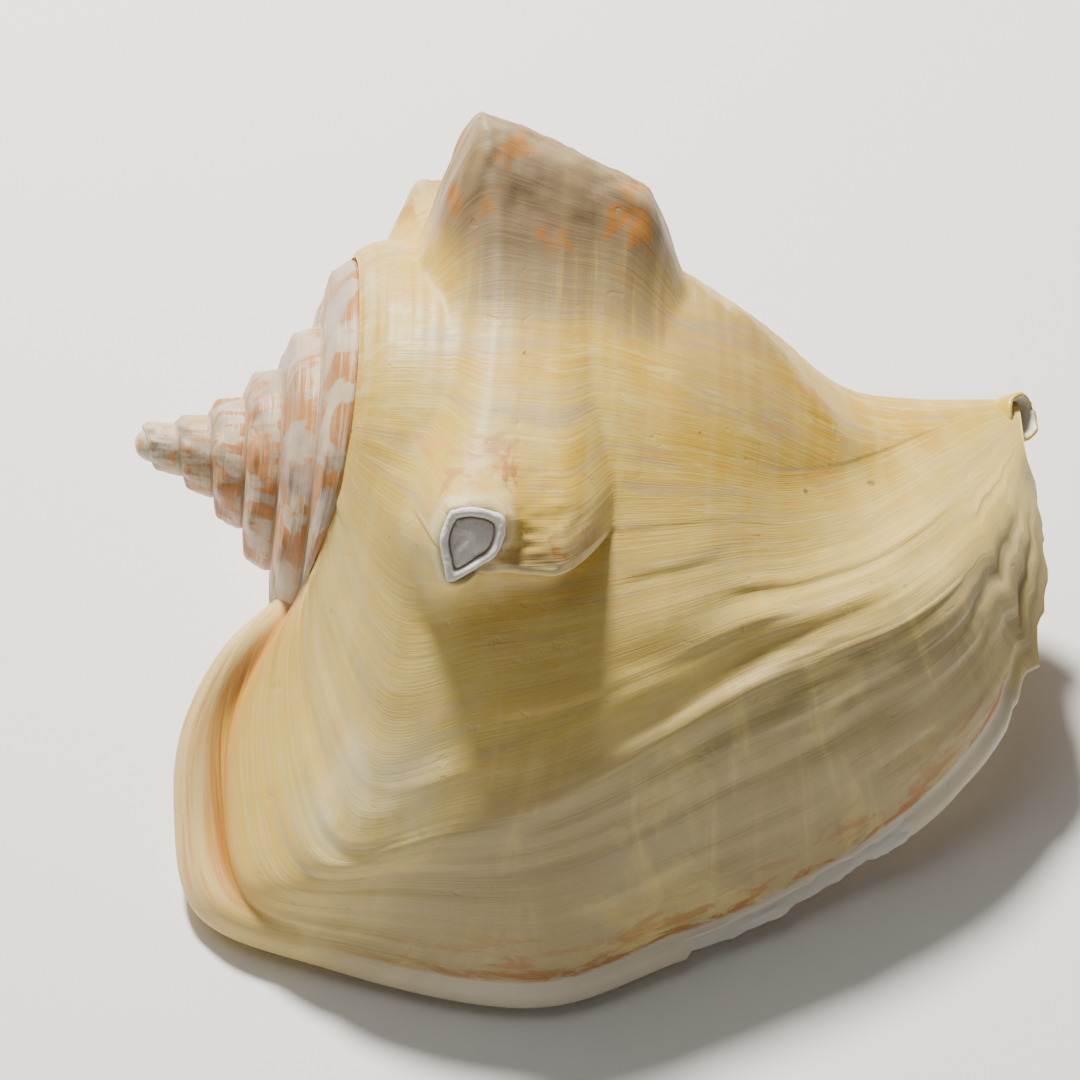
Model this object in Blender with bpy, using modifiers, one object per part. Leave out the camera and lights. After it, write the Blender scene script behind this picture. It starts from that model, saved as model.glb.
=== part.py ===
# A large conch shell lying on its aperture: apex at -X, siphonal canal at +X, flared lip towards -Y.
# Sizes are in millimetres and angles in degrees, and MM turns millimetres into Blender's metres.
from math import cos, radians, sin

import bmesh
import bpy
import numpy as np
from mathutils import Matrix

MM = 0.001

# The axis of the coil dips towards the canal. Places along it are measured from AXIS_POINT.
AXIS_TILT = 11.6
AXIS_HEIGHT = 52.5
FLOOR = 0.0
BOX_CENTRE = (14.45, -17.68)

# Growth angles run with the coil: 0 is the top of the last whorl, 90 faces the lip, and each
# 360 before that is one whorl earlier. The outline was settled where growth is SILHOUETTE_AT.
SILHOUETTE_AT = -50.0
APEX_AT = -103.2
APEX_ROUND = 4.6
# Growth and lengthening of the last two whorls in a turn, and growth of the last towards the lip.
GROWTH = 0.53
STRETCH = 0.31
LAST_GROWTH = 0.22

# The spire: growth of its seam's radius in a turn, millimetres along the axis in a turn, and how
# many fewer the last turn takes.
SPIRE_GROWTH = 0.42
SPIRE_PITCH = 8.1
SPIRE_GATHER = 1.9
SPIRE_GATHER_RATE = 2
SPIRE_WHORLS = 5
# One whorl's profile, a narrow shelf and then a long side: share of the way along the axis and of
# the gain in radius.
STEP = [(0, 0), (0.04, 0.26), (0.14, 0.56), (0.32, 0.74), (0.62, 0.88), (1, 1)]
NODE = 0.10
NODE_AT = 0.42
NODE_HALF = 0.2
NODES_A_TURN = 9
# Where the cone that closes the spire inside the whorl ends, along the axis.
SPIRE_BASE = -25.0

# The seam of the last whorl on the spire: growth angle, place along the axis, radius.
SEAM = [
    (-50, -55.5, 53.0),
    (-10, -54.8, 53.0),
    (20, -53.8, 52.0),
    (50, -54.4, 48.5),
    (80, -58.2, 43.0),
    (105, -60.5, 38.0),
    (118, -63.5, 35.0),
]

# The outline of the last whorl: share of the way from seam to canal, place along the axis, radius.
OUTLINE = [
    (0.00, -55.5, 53.0),
    (0.04, -54.0, 55.5),
    (0.08, -51.0, 57.5),
    (0.13, -46.0, 59.0),
    (0.19, -38.0, 60.0),
    (0.27, -22.0, 61.0),
    (0.36, -2.0, 62.0),
    (0.46, 18.0, 61.0),
    (0.56, 36.0, 57.0),
    (0.66, 54.0, 48.5),
    (0.76, 74.0, 36.5),
    (0.86, 94.0, 27.5),
    (0.94, 110.0, 18.0),
    (1.00, 125.5, 6.0),
]
RAMP_ENDS = 0.27

# The canal bends up and back, away from the axis.
CANAL_BEND = 35.0
CANAL_BEND_FROM = 58.0
CANAL_BEND_ROUND = -40.0
CANAL_END = 123.0

# The lip leaves the whorl at LIP_FROM, and near the canal, over that share, LIP_EARLIER sooner.
LIP_FROM = 28.0
LIP_EARLIER = 40.0
LIP_EARLIER_OVER = (0.6, 1.0)
# Reach of the fold, and how full the curve is where it leaves the whorl, at the fold and at the rim.
LIP_FOLD = 0.56
START_FULLNESS = 0.8
FOLD_FULLNESS = 0.75
RIM_FULLNESS = 1.1
# Stations of the lip: share as in OUTLINE, a point on its fold, a point on its rim.
LIP = [
    (0.00, (-55.5, -42.0, 71.0), (-65.0, -31.0, 50.0)),
    (0.04, (-58.5, -50.0, 62.0), (-80.0, -43.5, 45.0)),
    (0.08, (-57.5, -62.0, 55.0), (-90.5, -56.0, 29.0)),
    (0.13, (-53.0, -81.0, 48.0), (-92.5, -75.0, 13.0)),
    (0.19, (-45.0, -97.0, 44.0), (-86.0, -95.5, 5.0)),
    (0.27, (-20.0, -98.5, 55.0), (-53.0, -110.0, 3.0)),
    (0.36, (2.0, -97.0, 62.0), (-4.0, -121.0, 2.5)),
    (0.46, (27.0, -85.0, 66.0), (34.0, -108.5, 3.0)),
    (0.56, (50.0, -71.0, 69.0), (62.0, -97.0, 5.0)),
    (0.66, (69.0, -62.0, 69.0), (84.5, -83.5, 9.0)),
    (0.76, (88.0, -51.0, 67.0), (105.0, -70.0, 18.0)),
    (0.86, (106.0, -32.0, 65.0), (121.0, -50.5, 34.0)),
    (0.94, (120.0, -8.0, 63.0), (128.0, -20.0, 54.0)),
    (1.00, (126.5, 13.0, 60.0), (126.0, 9.0, 57.0)),
]

# Shoulder knobs and the thick callus under the whorl: direction round the axis, from and to along
# it, height at both ends, and how far the slope runs before and after the crest.
KNOBS = [
    (-180, -48, 44, 2.5, 2.0, 30, 30),
    (-165, -38, -8, 3, 2, 20, 15),
    (-122, -39, -5, 14, 7, 20, 15),
    (-74, -37.5, 3, 32, 15, 20, 15),
    (-24, -38, 18.5, 36.5, 20, 19, 17),
    (50, -35, 9, 17, 13, 15, 10),
]
# A knob's crest is flatter with a higher KNOB_FLATNESS. Its two ends rise over KNOB_EDGE from each
# end, and KNOB_NARROWS away from the crest they draw in by KNOB_NARROWING. A low foot of KNOB_FOOT
# of the height runs on to KNOB_FOOT_REACH half lengths. Knobs lean back towards the spire.
KNOB_FLATNESS = 3
KNOB_EDGE = (-2.5, 6.5)
KNOB_ROUND = 0.6
KNOB_NARROWS = (6.0, 36.0)
KNOB_NARROWING = 0.5
KNOB_FOOT = 0.03
KNOB_FOOT_REACH = 1.6
KNOB_LEAN = 0.06
# The broken tip of the front knob: direction, place along the axis, extra height, radius.
TIP = (48.5, -26.5, 9.5, 8.0)
TIP_FLATNESS = 4
# The ridge that runs on from the highest knob to the canal: from and to along the axis, direction
# at its start, turn for each millimetre, height, half its width. It rises over RIDGE_RISES around
# its start and fades over RIDGE_FADES around its end.
RIDGE = (16.0, 76.0, -32.0, 0.7, 3.0, 7.0)
RIDGE_RISES = (-8.0, 8.0)
RIDGE_FADES = (-30.0, 10.0)
# Knobs and ridge grow in over these distances from the axis, so the whorl's far side keeps its shape.
KNOB_SIDE = (10.0, 40.0)
RIDGE_SIDE = (10.0, 30.0)
# The rolled band along the rim and the crease behind it, which both fade out at the canal: share
# as in OUTLINE and width of the band, then depth and rise for each millimetre of width.
BAND = [(0.0, 14.0), (0.08, 16.0), (0.27, 15.0), (0.42, 8.0), (0.7, 6.5), (1.0, 5.0)]
BAND_FADE = (0.82, 0.95)
CREASE_DEPTH = 0.14
CREASE_HALF = 3.0
BAND_RISE = 0.06

# Wall of the last whorl, of the lip near its rim and of the canal, and over which steps and share
# it changes. The bead on the rim: its radius, inset, points along it, and the share where it ends.
WALL = 4.5
RIM_WALL = 7.0
RIM_WALL_OVER = (0.85, 1.0)
CANAL_WALL = 3.0
CANAL_WALL_OVER = (0.8, 0.95)
BEAD_RADIUS = 3.8
BEAD_INSET = 3.8
BEAD_POINTS = 60
BEAD_END = 0.95
# Reach just behind the rim, which gives the way in from it.
BEHIND_RIM = 0.97

SHEET_STEPS = (150, 110)
CORE_STEPS = (72, 50)
SPIRE_STEPS = (48, 12)
SHEET_START = -215.0
WHORL_SHARE = 0.6
CORE_START = -560.0
CORE_END = -200.0
WELD = 0.01
VOXEL = 1.5
SHARE_KEPT = 0.044
CUTTER_SIZE = (0.4, 0.4, 0.05)
SHELL_COLOUR = (0.72, 0.62, 0.40, 1.0)

ALONG = np.array([cos(radians(AXIS_TILT)), 0.0, -sin(radians(AXIS_TILT))])
UP = np.array([sin(radians(AXIS_TILT)), 0.0, cos(radians(AXIS_TILT))])
SIDE = np.array([0.0, -1.0, 0.0])
AXIS_POINT = np.array([0.0, 0.0, AXIS_HEIGHT])


def cubic(t, start, start_slope, end, end_slope):
    return (
        (2 * t**3 - 3 * t**2 + 1) * start
        + (t**3 - 2 * t**2 + t) * start_slope
        + (3 * t**2 - 2 * t**3) * end
        + (t**3 - t**2) * end_slope
    )


def spline(at, knots, values):
    """A smooth curve through the values, whose slope at each is the mean of its neighbours'."""
    knots = np.asarray(knots, float)
    values = np.asarray(values, float).reshape(len(knots), -1)
    steps = np.diff(knots)[:, None]
    chords = np.diff(values, axis=0) / steps
    slopes = np.empty_like(values)
    slopes[0] = chords[0]
    slopes[-1] = chords[-1]
    slopes[1:-1] = (chords[:-1] * steps[1:] + chords[1:] * steps[:-1]) / (steps[1:] + steps[:-1])
    i = np.clip(np.searchsorted(knots, at, side="right") - 1, 0, len(knots) - 2)
    width = (knots[i + 1] - knots[i])[..., None]
    t = (np.asarray(at, float) - knots[i])[..., None] / width
    return cubic(t, values[i], slopes[i] * width, values[i + 1], slopes[i + 1] * width)


def column(rows, item):
    return [row[item] for row in rows]


def ease(x, low, high):
    t = np.clip((x - low) / (high - low), 0, 1)
    return t * t * (3 - 2 * t)


def unit(vectors):
    return vectors / np.linalg.norm(vectors, axis=-1, keepdims=True)


def outward(degrees_round):
    """The direction away from the axis: 0 is up, and 90 is towards the lip."""
    angle = np.radians(degrees_round)
    return np.cos(angle)[..., None] * UP + np.sin(angle)[..., None] * SIDE


def place(along, radius, degrees_round):
    """Points from their place along the axis, distance from it and direction round it."""
    t = np.clip((along - CANAL_BEND_FROM) / (CANAL_END - CANAL_BEND_FROM), 0, None)
    bend = (CANAL_BEND * t**2)[..., None] * outward(np.float64(CANAL_BEND_ROUND))
    return AXIS_POINT + along[..., None] * ALONG + bend + radius[..., None] * outward(degrees_round)


def seam(growth):
    """Place along the axis and radius of the seam: a shrinking helix, then the climb to the lip."""
    turns = (growth - SILHOUETTE_AT) / 360
    along = SEAM[0][1] + SPIRE_PITCH * turns + SPIRE_GATHER * (1 - np.exp(SPIRE_GATHER_RATE * turns))
    radius = SEAM[0][2] * np.exp(SPIRE_GROWTH * turns)
    climb = spline(growth, column(SEAM, 0), [row[1:] for row in SEAM])
    late = growth > SILHOUETTE_AT
    return np.where(late, climb[..., 0], along), np.where(late, climb[..., 1], radius)


def whorl(growth, share):
    """The outer face of the coil, which shrinks towards the apex with each turn back."""
    growth, share = np.broadcast_arrays(np.asarray(growth, float), np.asarray(share, float))
    outline = spline(share, column(OUTLINE, 0), [row[1:] for row in OUTLINE])
    turns = (growth - SILHOUETTE_AT) / 360
    early = np.minimum(turns, 0)
    stretch = np.exp(STRETCH * early)
    swell = np.exp(GROWTH * early + LAST_GROWTH * np.maximum(turns, 0))
    along = APEX_AT + (outline[..., 0] - APEX_AT) * stretch
    radius = outline[..., 1] * swell
    seam_along, seam_radius = seam(growth)
    hold = 1 - ease(share, 0, RAMP_ENDS)
    along = along + (seam_along - APEX_AT - (OUTLINE[0][1] - APEX_AT) * stretch) * hold
    radius = radius + (seam_radius - OUTLINE[0][2] * swell) * hold
    return place(along, radius, growth)


def lip_start(share):
    return LIP_FROM - LIP_EARLIER * ease(share, *LIP_EARLIER_OVER)


def lip(reach, share):
    """The flared lip, from the whorl at reach 0 over its fold to the rim at reach 1."""
    stations = column(LIP, 0)
    fold = spline(share, stations, column(LIP, 1))
    rim = spline(share, stations, column(LIP, 2))
    start = whorl(lip_start(share), share)
    heading = unit(start - whorl(lip_start(share) - 1, share))
    top_length = np.linalg.norm(fold - start, axis=-1, keepdims=True)
    drop = np.linalg.norm(rim - fold, axis=-1, keepdims=True)
    over = unit((fold - start) / top_length + (rim - fold) / drop)
    t_top = np.clip(reach / LIP_FOLD, 0, 1)[..., None]
    t_skirt = np.clip((reach - LIP_FOLD) / (1 - LIP_FOLD), 0, 1)[..., None]
    top = cubic(t_top, start, heading * top_length * START_FULLNESS, fold, over * top_length * FOLD_FULLNESS)
    skirt = cubic(t_skirt, fold, over * drop * FOLD_FULLNESS, rim, (rim - fold) * RIM_FULLNESS)
    return np.where(t_top < 1, top, skirt)


def raise_knobs(points):
    """The points lifted into the shoulder knobs: blunt folds, high behind and lower in front."""
    from_axis = points - AXIS_POINT
    along = from_axis @ ALONG
    lifted = points.copy()
    for at, start, end, high, low, before, after in KNOBS:
        out = outward(np.float64(at))
        across = from_axis @ outward(np.float64(at + 90))
        same_side = ease(from_axis @ out, *KNOB_SIDE)
        narrowing = 1 + KNOB_NARROWING * ease(np.abs(across), *KNOB_NARROWS)
        half = (end - start) / 2
        off = np.abs(along - (start + end) / 2) * narrowing
        foot = KNOB_FOOT * np.exp(-((off / half / KNOB_FOOT_REACH) ** 2))
        length = ease(half - off, *KNOB_EDGE) ** KNOB_ROUND + foot
        crest = 1 / (1 + np.abs(across / np.where(across < 0, before, after)) ** KNOB_FLATNESS)
        height = high + (low - high) * np.clip((along - start) / (end - start), 0, 1)
        lifted += (height * length * crest * same_side)[..., None] * (out - KNOB_LEAN * ALONG)
    at, tip_along, rise, radius = TIP
    out = outward(np.float64(at))
    far = np.hypot(along - tip_along, from_axis @ outward(np.float64(at + 90)))
    same_side = ease(from_axis @ out, *KNOB_SIDE)
    lifted += (rise * same_side / (1 + (far / radius) ** TIP_FLATNESS))[..., None] * out
    start, end, at, turn, height, half = RIDGE
    out = outward(at + turn * (along - start))
    across = (from_axis * outward(at + 90 + turn * (along - start))).sum(axis=-1)
    same_side = ease((from_axis * out).sum(axis=-1), *RIDGE_SIDE)
    length = ease(along - start, *RIDGE_RISES) * (1 - ease(along - end, *RIDGE_FADES))
    lifted += (height * length * same_side * np.exp(-((across / half) ** 2)))[..., None] * out
    return lifted


def plain_face(steps, share):
    """The outer face without knobs, from SHEET_START to the rim: steps runs from 0 to 1."""
    steps, share = np.broadcast_arrays(steps, share)
    growth = SHEET_START + (lip_start(share) - SHEET_START) * np.minimum(steps / WHORL_SHARE, 1)
    reach = np.clip((steps - WHORL_SHARE) / (1 - WHORL_SHARE), 0, 1)
    return np.where((reach > 0)[..., None], lip(reach, share), whorl(growth, share))


def wall_thickness(steps, share):
    rim = (RIM_WALL - WALL) * ease(steps, *RIM_WALL_OVER)
    return WALL + rim + (CANAL_WALL - WALL) * ease(share, *CANAL_WALL_OVER)


def normals(face):
    return unit(np.cross(np.gradient(face, axis=0), np.gradient(face, axis=1)))


def outer_face(face, share):
    """The plain face with its knobs, the rolled band along the rim and the crease behind that."""
    width = spline(share, column(BAND, 0), column(BAND, 1))[..., 0]
    from_rim = np.linalg.norm(face - face[-1:], axis=-1)
    crease = CREASE_DEPTH * np.exp(-(((from_rim - width) / CREASE_HALF) ** 2))
    roll = BAND_RISE * np.exp(-(((from_rim - width / 2) / (width / 3)) ** 2))
    rise = (roll - crease) * width * (1 - ease(share, *BAND_FADE))
    return raise_knobs(face) + normals(face) * rise[..., None]


def new_object(name, points, faces, collection):
    mesh = bpy.data.meshes.new(name)
    centre = np.array([*BOX_CENTRE, FLOOR])
    mesh.from_pydata(((points - centre) * MM).tolist(), [], faces)
    obj = bpy.data.objects.new(name, mesh)
    collection.objects.link(obj)
    return obj


def grid_faces(rows, columns, around=False):
    """Quads of a grid of points, row by row, and with around also from the last row to the first."""
    faces = []
    for i in range(rows if around else rows - 1):
        j = (i + 1) % rows
        for k in range(columns - 1):
            faces.append((i * columns + k, j * columns + k, j * columns + k + 1, i * columns + k + 1))
    return faces


def make_sheet(collection):
    """The last whorl and lip, a closed wall between the knobbed outer face and the inner one."""
    rows, columns = SHEET_STEPS
    steps = np.linspace(0, 1, rows)[:, None]
    share = np.linspace(0, 1, columns)[None]
    plain = plain_face(steps, share)
    # The inner face follows the plain one, so that the knobs are solid.
    inside = plain - normals(plain) * wall_thickness(steps, share)[..., None]
    points = np.concatenate([outer_face(plain, share).reshape(-1, 3), inside.reshape(-1, 3)])
    outer = grid_faces(rows, columns)
    below = rows * columns
    inner = [tuple(below + i for i in reversed(face)) for face in outer]
    border = list(range(columns))
    border += [i * columns + columns - 1 for i in range(1, rows)]
    border += [(rows - 1) * columns + k for k in range(columns - 2, -1, -1)]
    border += [i * columns for i in range(rows - 2, 0, -1)]
    edge = [(a, b, below + b, below + a) for a, b in zip(border, border[1:] + border[:1], strict=True)]
    return new_object("sheet", points, outer + inner + edge, collection)


def make_bead(collection):
    """The rounded bead along the rim, from the spire to the canal."""
    share = np.linspace(0, BEAD_END, BEAD_POINTS)
    rim = lip(np.ones(BEAD_POINTS), share)
    inward = unit(lip(np.full(BEAD_POINTS, BEHIND_RIM), share) - rim)
    away = unit(np.cross(np.gradient(rim, axis=0), inward))
    away = away * np.sign((away * np.array([0, 0, 1.0])).sum(axis=1, keepdims=True))
    centre = rim + inward * BEAD_INSET - away * BEAD_INSET
    data = bpy.data.curves.new("bead", "CURVE")
    data.dimensions = "3D"
    data.bevel_depth = BEAD_RADIUS * MM
    data.bevel_resolution = 3
    data.use_fill_caps = True
    line = data.splines.new("POLY")
    line.points.add(len(centre) - 1)
    for point, at in zip(line.points, (centre - np.array([*BOX_CENTRE, FLOOR])) * MM, strict=True):
        point.co = (*at, 1)
    curve = bpy.data.objects.new("bead", data)
    collection.objects.link(curve)
    bpy.context.view_layer.update()
    mesh = bpy.data.meshes.new_from_object(curve.evaluated_get(bpy.context.evaluated_depsgraph_get()))
    bpy.data.objects.remove(curve)
    work = bmesh.new()
    work.from_mesh(mesh)
    bmesh.ops.remove_doubles(work, verts=work.verts, dist=WELD * MM)
    work.to_mesh(mesh)
    work.free()
    obj = bpy.data.objects.new("bead", mesh)
    collection.objects.link(obj)
    return obj


def make_core(collection):
    """The whorl before the last, solid, which carries the sheet underneath."""
    rows, columns = CORE_STEPS
    growth = np.linspace(CORE_START, CORE_END, rows)[:, None]
    grid = raise_knobs(whorl(growth, np.linspace(0, 1, columns)[None]))
    middles = [grid[:, 0].mean(axis=0), grid[:, -1].mean(axis=0)]
    points = np.concatenate([grid.reshape(-1, 3), middles])
    faces = grid_faces(rows, columns, around=True)
    for i in range(rows):
        j = (i + 1) % rows
        faces.append((rows * columns, j * columns, i * columns))
        faces.append((rows * columns + 1, i * columns + columns - 1, j * columns + columns - 1))
    return new_object("core", points, faces, collection)


def spire_face(growth, across):
    """The spire, from its seam over a shelf and a knobbed shoulder at across 0 to the next seam at 1."""
    along, radius = seam(growth)
    next_along, next_radius = seam(growth + 360)
    step = spline(across, np.linspace(0, 1, len(STEP)), STEP)
    window = np.sin(np.pi * across) * np.exp(-(((across - NODE_AT) / NODE_HALF) ** 2))
    nodes = NODE * window * np.cos(np.radians(growth) * NODES_A_TURN)
    gain = (next_radius - radius) * (step[..., 1] + nodes)
    return place(along + (next_along - along) * step[..., 0], radius + gain, growth)


def make_spire(collection):
    """The spire above the last seam, closed by a cone inside the last whorl."""
    around, across = SPIRE_STEPS
    last = SEAM[-1][0] - 360
    rows = around * SPIRE_WHORLS + 1
    growth = last - np.arange(rows)[::-1] * 360 / around
    grid = spire_face(*np.broadcast_arrays(growth[:, None], np.linspace(0, 1, across)[None]))
    apex = AXIS_POINT + APEX_AT * ALONG
    inside = AXIS_POINT + SPIRE_BASE * ALONG
    work = bmesh.new()
    verts = [[work.verts.new(p) for p in row] for row in grid]
    for i in range(rows - 1):
        for k in range(across - 1):
            work.faces.new((verts[i][k], verts[i + 1][k], verts[i + 1][k + 1], verts[i][k + 1]))
    tip = work.verts.new(apex)
    base = work.verts.new(inside)
    for i in range(around):
        work.faces.new((tip, verts[i + 1][0], verts[i][0]))
    for i in range(rows - around - 1, rows - 1):
        work.faces.new((base, verts[i][-1], verts[i + 1][-1]))
    for k in range(across - 1):
        work.faces.new((tip, verts[0][k], verts[0][k + 1]))
        work.faces.new((base, verts[-1][k + 1], verts[-1][k]))
    bmesh.ops.remove_doubles(work, verts=work.verts, dist=WELD)
    bmesh.ops.recalc_face_normals(work, faces=work.faces)
    points = np.array([v.co for v in work.verts])
    faces = [[v.index for v in f.verts] for f in work.faces]
    work.free()
    return new_object("spire", points, faces, collection)


def make_apex(collection):
    """The worn round tip of the spire."""
    work = bmesh.new()
    bmesh.ops.create_uvsphere(work, u_segments=16, v_segments=10, radius=APEX_ROUND)
    centre = AXIS_POINT + (APEX_AT + APEX_ROUND) * ALONG
    points = np.array([v.co for v in work.verts]) + centre
    faces = [[v.index for v in f.verts] for f in work.faces]
    work.free()
    return new_object("apex", points, faces, collection)


def join(pieces, name):
    """One object from the pieces' evaluated meshes, still overlapping closed bodies."""
    bpy.context.view_layer.update()
    depsgraph = bpy.context.evaluated_depsgraph_get()
    work = bmesh.new()
    for piece in pieces:
        mesh = bpy.data.meshes.new_from_object(piece.evaluated_get(depsgraph))
        work.from_mesh(mesh)
        bpy.data.meshes.remove(mesh)
    mesh = bpy.data.meshes.new(name)
    work.to_mesh(mesh)
    work.free()
    joined = bpy.data.objects.new(name, mesh)
    for piece in pieces:
        bpy.data.objects.remove(piece)
    return joined


def make_floor_cutter(collection):
    """The block below the plane that the shell rests on."""
    work = bmesh.new()
    bmesh.ops.create_cube(work, size=1)
    bmesh.ops.transform(work, matrix=Matrix.Diagonal((*CUTTER_SIZE, 1)), verts=work.verts)
    bmesh.ops.translate(work, vec=(0, 0, -CUTTER_SIZE[2] / 2), verts=work.verts)
    mesh = bpy.data.meshes.new("rest plane")
    work.to_mesh(mesh)
    work.free()
    cutter = bpy.data.objects.new("rest plane", mesh)
    collection.objects.link(cutter)
    cutter.hide_render = True
    cutter.display_type = "WIRE"
    return cutter


def shell_material():
    material = bpy.data.materials.new("shell")
    material.use_nodes = True
    surface = material.node_tree.nodes["Principled BSDF"]
    surface.inputs["Base Color"].default_value = SHELL_COLOUR
    surface.inputs["Roughness"].default_value = 0.42
    surface.inputs["Metallic"].default_value = 0.0
    return material


def main():
    for obj in list(bpy.data.objects):
        bpy.data.objects.remove(obj)
    collection = bpy.data.collections.new("conch shell")
    cutters = bpy.data.collections.new("cutters")
    bpy.context.scene.collection.children.link(collection)
    bpy.context.scene.collection.children.link(cutters)
    pieces = [
        make_sheet(collection),
        make_bead(collection),
        make_core(collection),
        make_spire(collection),
        make_apex(collection),
    ]
    shell = join(pieces, "shell")
    collection.objects.link(shell)
    shell.data.materials.append(shell_material())
    fuse = shell.modifiers.new("grow together", "REMESH")
    fuse.mode = "VOXEL"
    fuse.voxel_size = VOXEL * MM
    thin = shell.modifiers.new("fewer faces", "DECIMATE")
    thin.ratio = SHARE_KEPT
    rest = shell.modifiers.new("rest", "BOOLEAN")
    rest.operation = "DIFFERENCE"
    rest.solver = "EXACT"
    rest.object = make_floor_cutter(cutters)


main()
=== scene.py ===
from math import cos, radians, sin

import bmesh
import bpy
import numpy as np
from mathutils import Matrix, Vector


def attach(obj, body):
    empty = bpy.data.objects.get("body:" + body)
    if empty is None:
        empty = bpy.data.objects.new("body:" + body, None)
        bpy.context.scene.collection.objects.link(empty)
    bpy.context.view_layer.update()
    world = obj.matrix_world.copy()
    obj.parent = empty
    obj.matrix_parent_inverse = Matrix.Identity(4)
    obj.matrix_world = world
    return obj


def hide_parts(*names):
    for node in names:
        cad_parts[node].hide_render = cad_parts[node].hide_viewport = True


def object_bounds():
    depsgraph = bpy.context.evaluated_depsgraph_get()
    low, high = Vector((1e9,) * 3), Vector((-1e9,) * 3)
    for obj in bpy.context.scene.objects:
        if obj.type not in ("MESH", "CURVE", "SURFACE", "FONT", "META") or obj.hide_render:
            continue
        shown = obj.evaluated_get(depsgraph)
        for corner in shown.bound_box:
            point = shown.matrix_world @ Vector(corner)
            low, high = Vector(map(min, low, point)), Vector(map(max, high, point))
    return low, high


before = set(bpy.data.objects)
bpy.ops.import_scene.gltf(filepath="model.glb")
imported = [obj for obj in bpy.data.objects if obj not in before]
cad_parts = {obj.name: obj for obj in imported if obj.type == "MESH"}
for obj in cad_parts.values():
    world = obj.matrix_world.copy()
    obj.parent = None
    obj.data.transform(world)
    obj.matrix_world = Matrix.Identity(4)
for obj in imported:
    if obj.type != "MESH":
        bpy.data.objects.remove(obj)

MM = 0.001
CAD_BOX = [list(corner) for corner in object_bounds()]
# Pieces are held this far inside the CAD model's box.
BOX_MARGIN = 0.02
# A distance that stands for nowhere near.
FAR = 99.0

# The axis of the coil dips towards the canal. Places along it are measured from AXIS_POINT.
AXIS_TILT = 11.6
AXIS_HEIGHT = 52.5
BOX_CENTRE = np.array([14.45, -17.68, 0.0])
ALONG = np.array([cos(radians(AXIS_TILT)), 0.0, -sin(radians(AXIS_TILT))])
UP = np.array([sin(radians(AXIS_TILT)), 0.0, cos(radians(AXIS_TILT))])
SIDE = np.array([0.0, -1.0, 0.0])
AXIS_POINT = np.array([0.0, 0.0, AXIS_HEIGHT])

# Growth angles run with the coil: 0 is the top of the last whorl, 90 faces the lip, and each
# 360 before that is one whorl earlier. The outline was settled where growth is SILHOUETTE_AT.
SILHOUETTE_AT = -50.0
APEX_AT = -103.2
APEX_ROUND = 4.6
# Exponents for one turn: of the radius, of the distance from the apex, and of the last radius.
GROWTH = 0.53
STRETCH = 0.31
LAST_GROWTH = 0.22

# The spire: growth of its seam's radius in a turn, and its pitch, which gathers at the last turn.
SPIRE_GROWTH = 0.42
SPIRE_PITCH = 8.1
SPIRE_GATHER = 1.9
SPIRE_GATHER_RATE = 2
SPIRE_WHORLS = 5.45
SPIRE_ROWS = 190
SPIRE_COLUMNS = 26
SPIRE_FOOT = -25.0
# The spire gets slimmer by this part of its radius, over these angles back from growth 0.
APEX_SLIM = 0.10
APEX_SLIM_OVER = (940, 1740)
APEX_GRID = (32, 16)
# One whorl's profile: share of the way along the axis and of the gain in radius.
STEP = [(0, 0), (0.04, 0.26), (0.14, 0.56), (0.32, 0.74), (0.62, 0.88), (1, 1)]
# Low nodes on each whorl: height as a part of the gain in radius, place on the profile, half width.
NODE = 0.13
NODE_AT = 0.42
NODE_HALF = 0.2
NODES_A_TURN = 9
# Fine spiral cords on each whorl, and the groove where two whorls meet.
SPIRE_CORDS = 6
SPIRE_GROOVE = 0.6
WELD = 0.01

# The seam of the last whorl on the spire: growth angle, place along the axis, radius.
SEAM = [
    (-50, -55.5, 53.0),
    (-10, -54.8, 53.0),
    (20, -53.8, 52.0),
    (50, -54.4, 48.5),
    (80, -58.2, 43.0),
    (105, -60.5, 38.0),
    (118, -63.5, 35.0),
]

# The outline of the last whorl: share of the way from seam to canal, place along the axis, radius.
OUTLINE = [
    (0.00, -55.5, 53.0),
    (0.04, -54.0, 55.5),
    (0.08, -51.0, 57.5),
    (0.13, -46.0, 59.0),
    (0.19, -38.0, 60.0),
    (0.27, -22.0, 61.0),
    (0.36, -2.0, 62.0),
    (0.46, 18.0, 61.0),
    (0.56, 36.0, 57.0),
    (0.66, 54.0, 48.5),
    (0.76, 74.0, 36.5),
    (0.86, 94.0, 27.5),
    (0.94, 110.0, 18.0),
    (1.00, 125.5, 6.0),
]
RAMP_ENDS = 0.27

# The canal bends up and back, away from the axis.
CANAL_BEND = 35.0
CANAL_BEND_FROM = 58.0
CANAL_BEND_ROUND = -40.0
CANAL_END = 123.0
# The canal's end is broken off here, as a share of the outline.
SHARE_END = 0.976

# The lip leaves the whorl at LIP_FROM, and near the canal LIP_EARLIER sooner. LIP_FOLD is the part of
# its reach where it folds down.
LIP_FROM = 28.0
LIP_EARLIER = 40.0
LIP_EARLIER_OVER = (0.6, 1.0)
LIP_FOLD = 0.56
# How full the lip's curve is where it leaves the whorl, over its fold and at its rim.
START_FULLNESS = 0.8
FOLD_FULLNESS = 0.75
RIM_FULLNESS = 1.1
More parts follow.
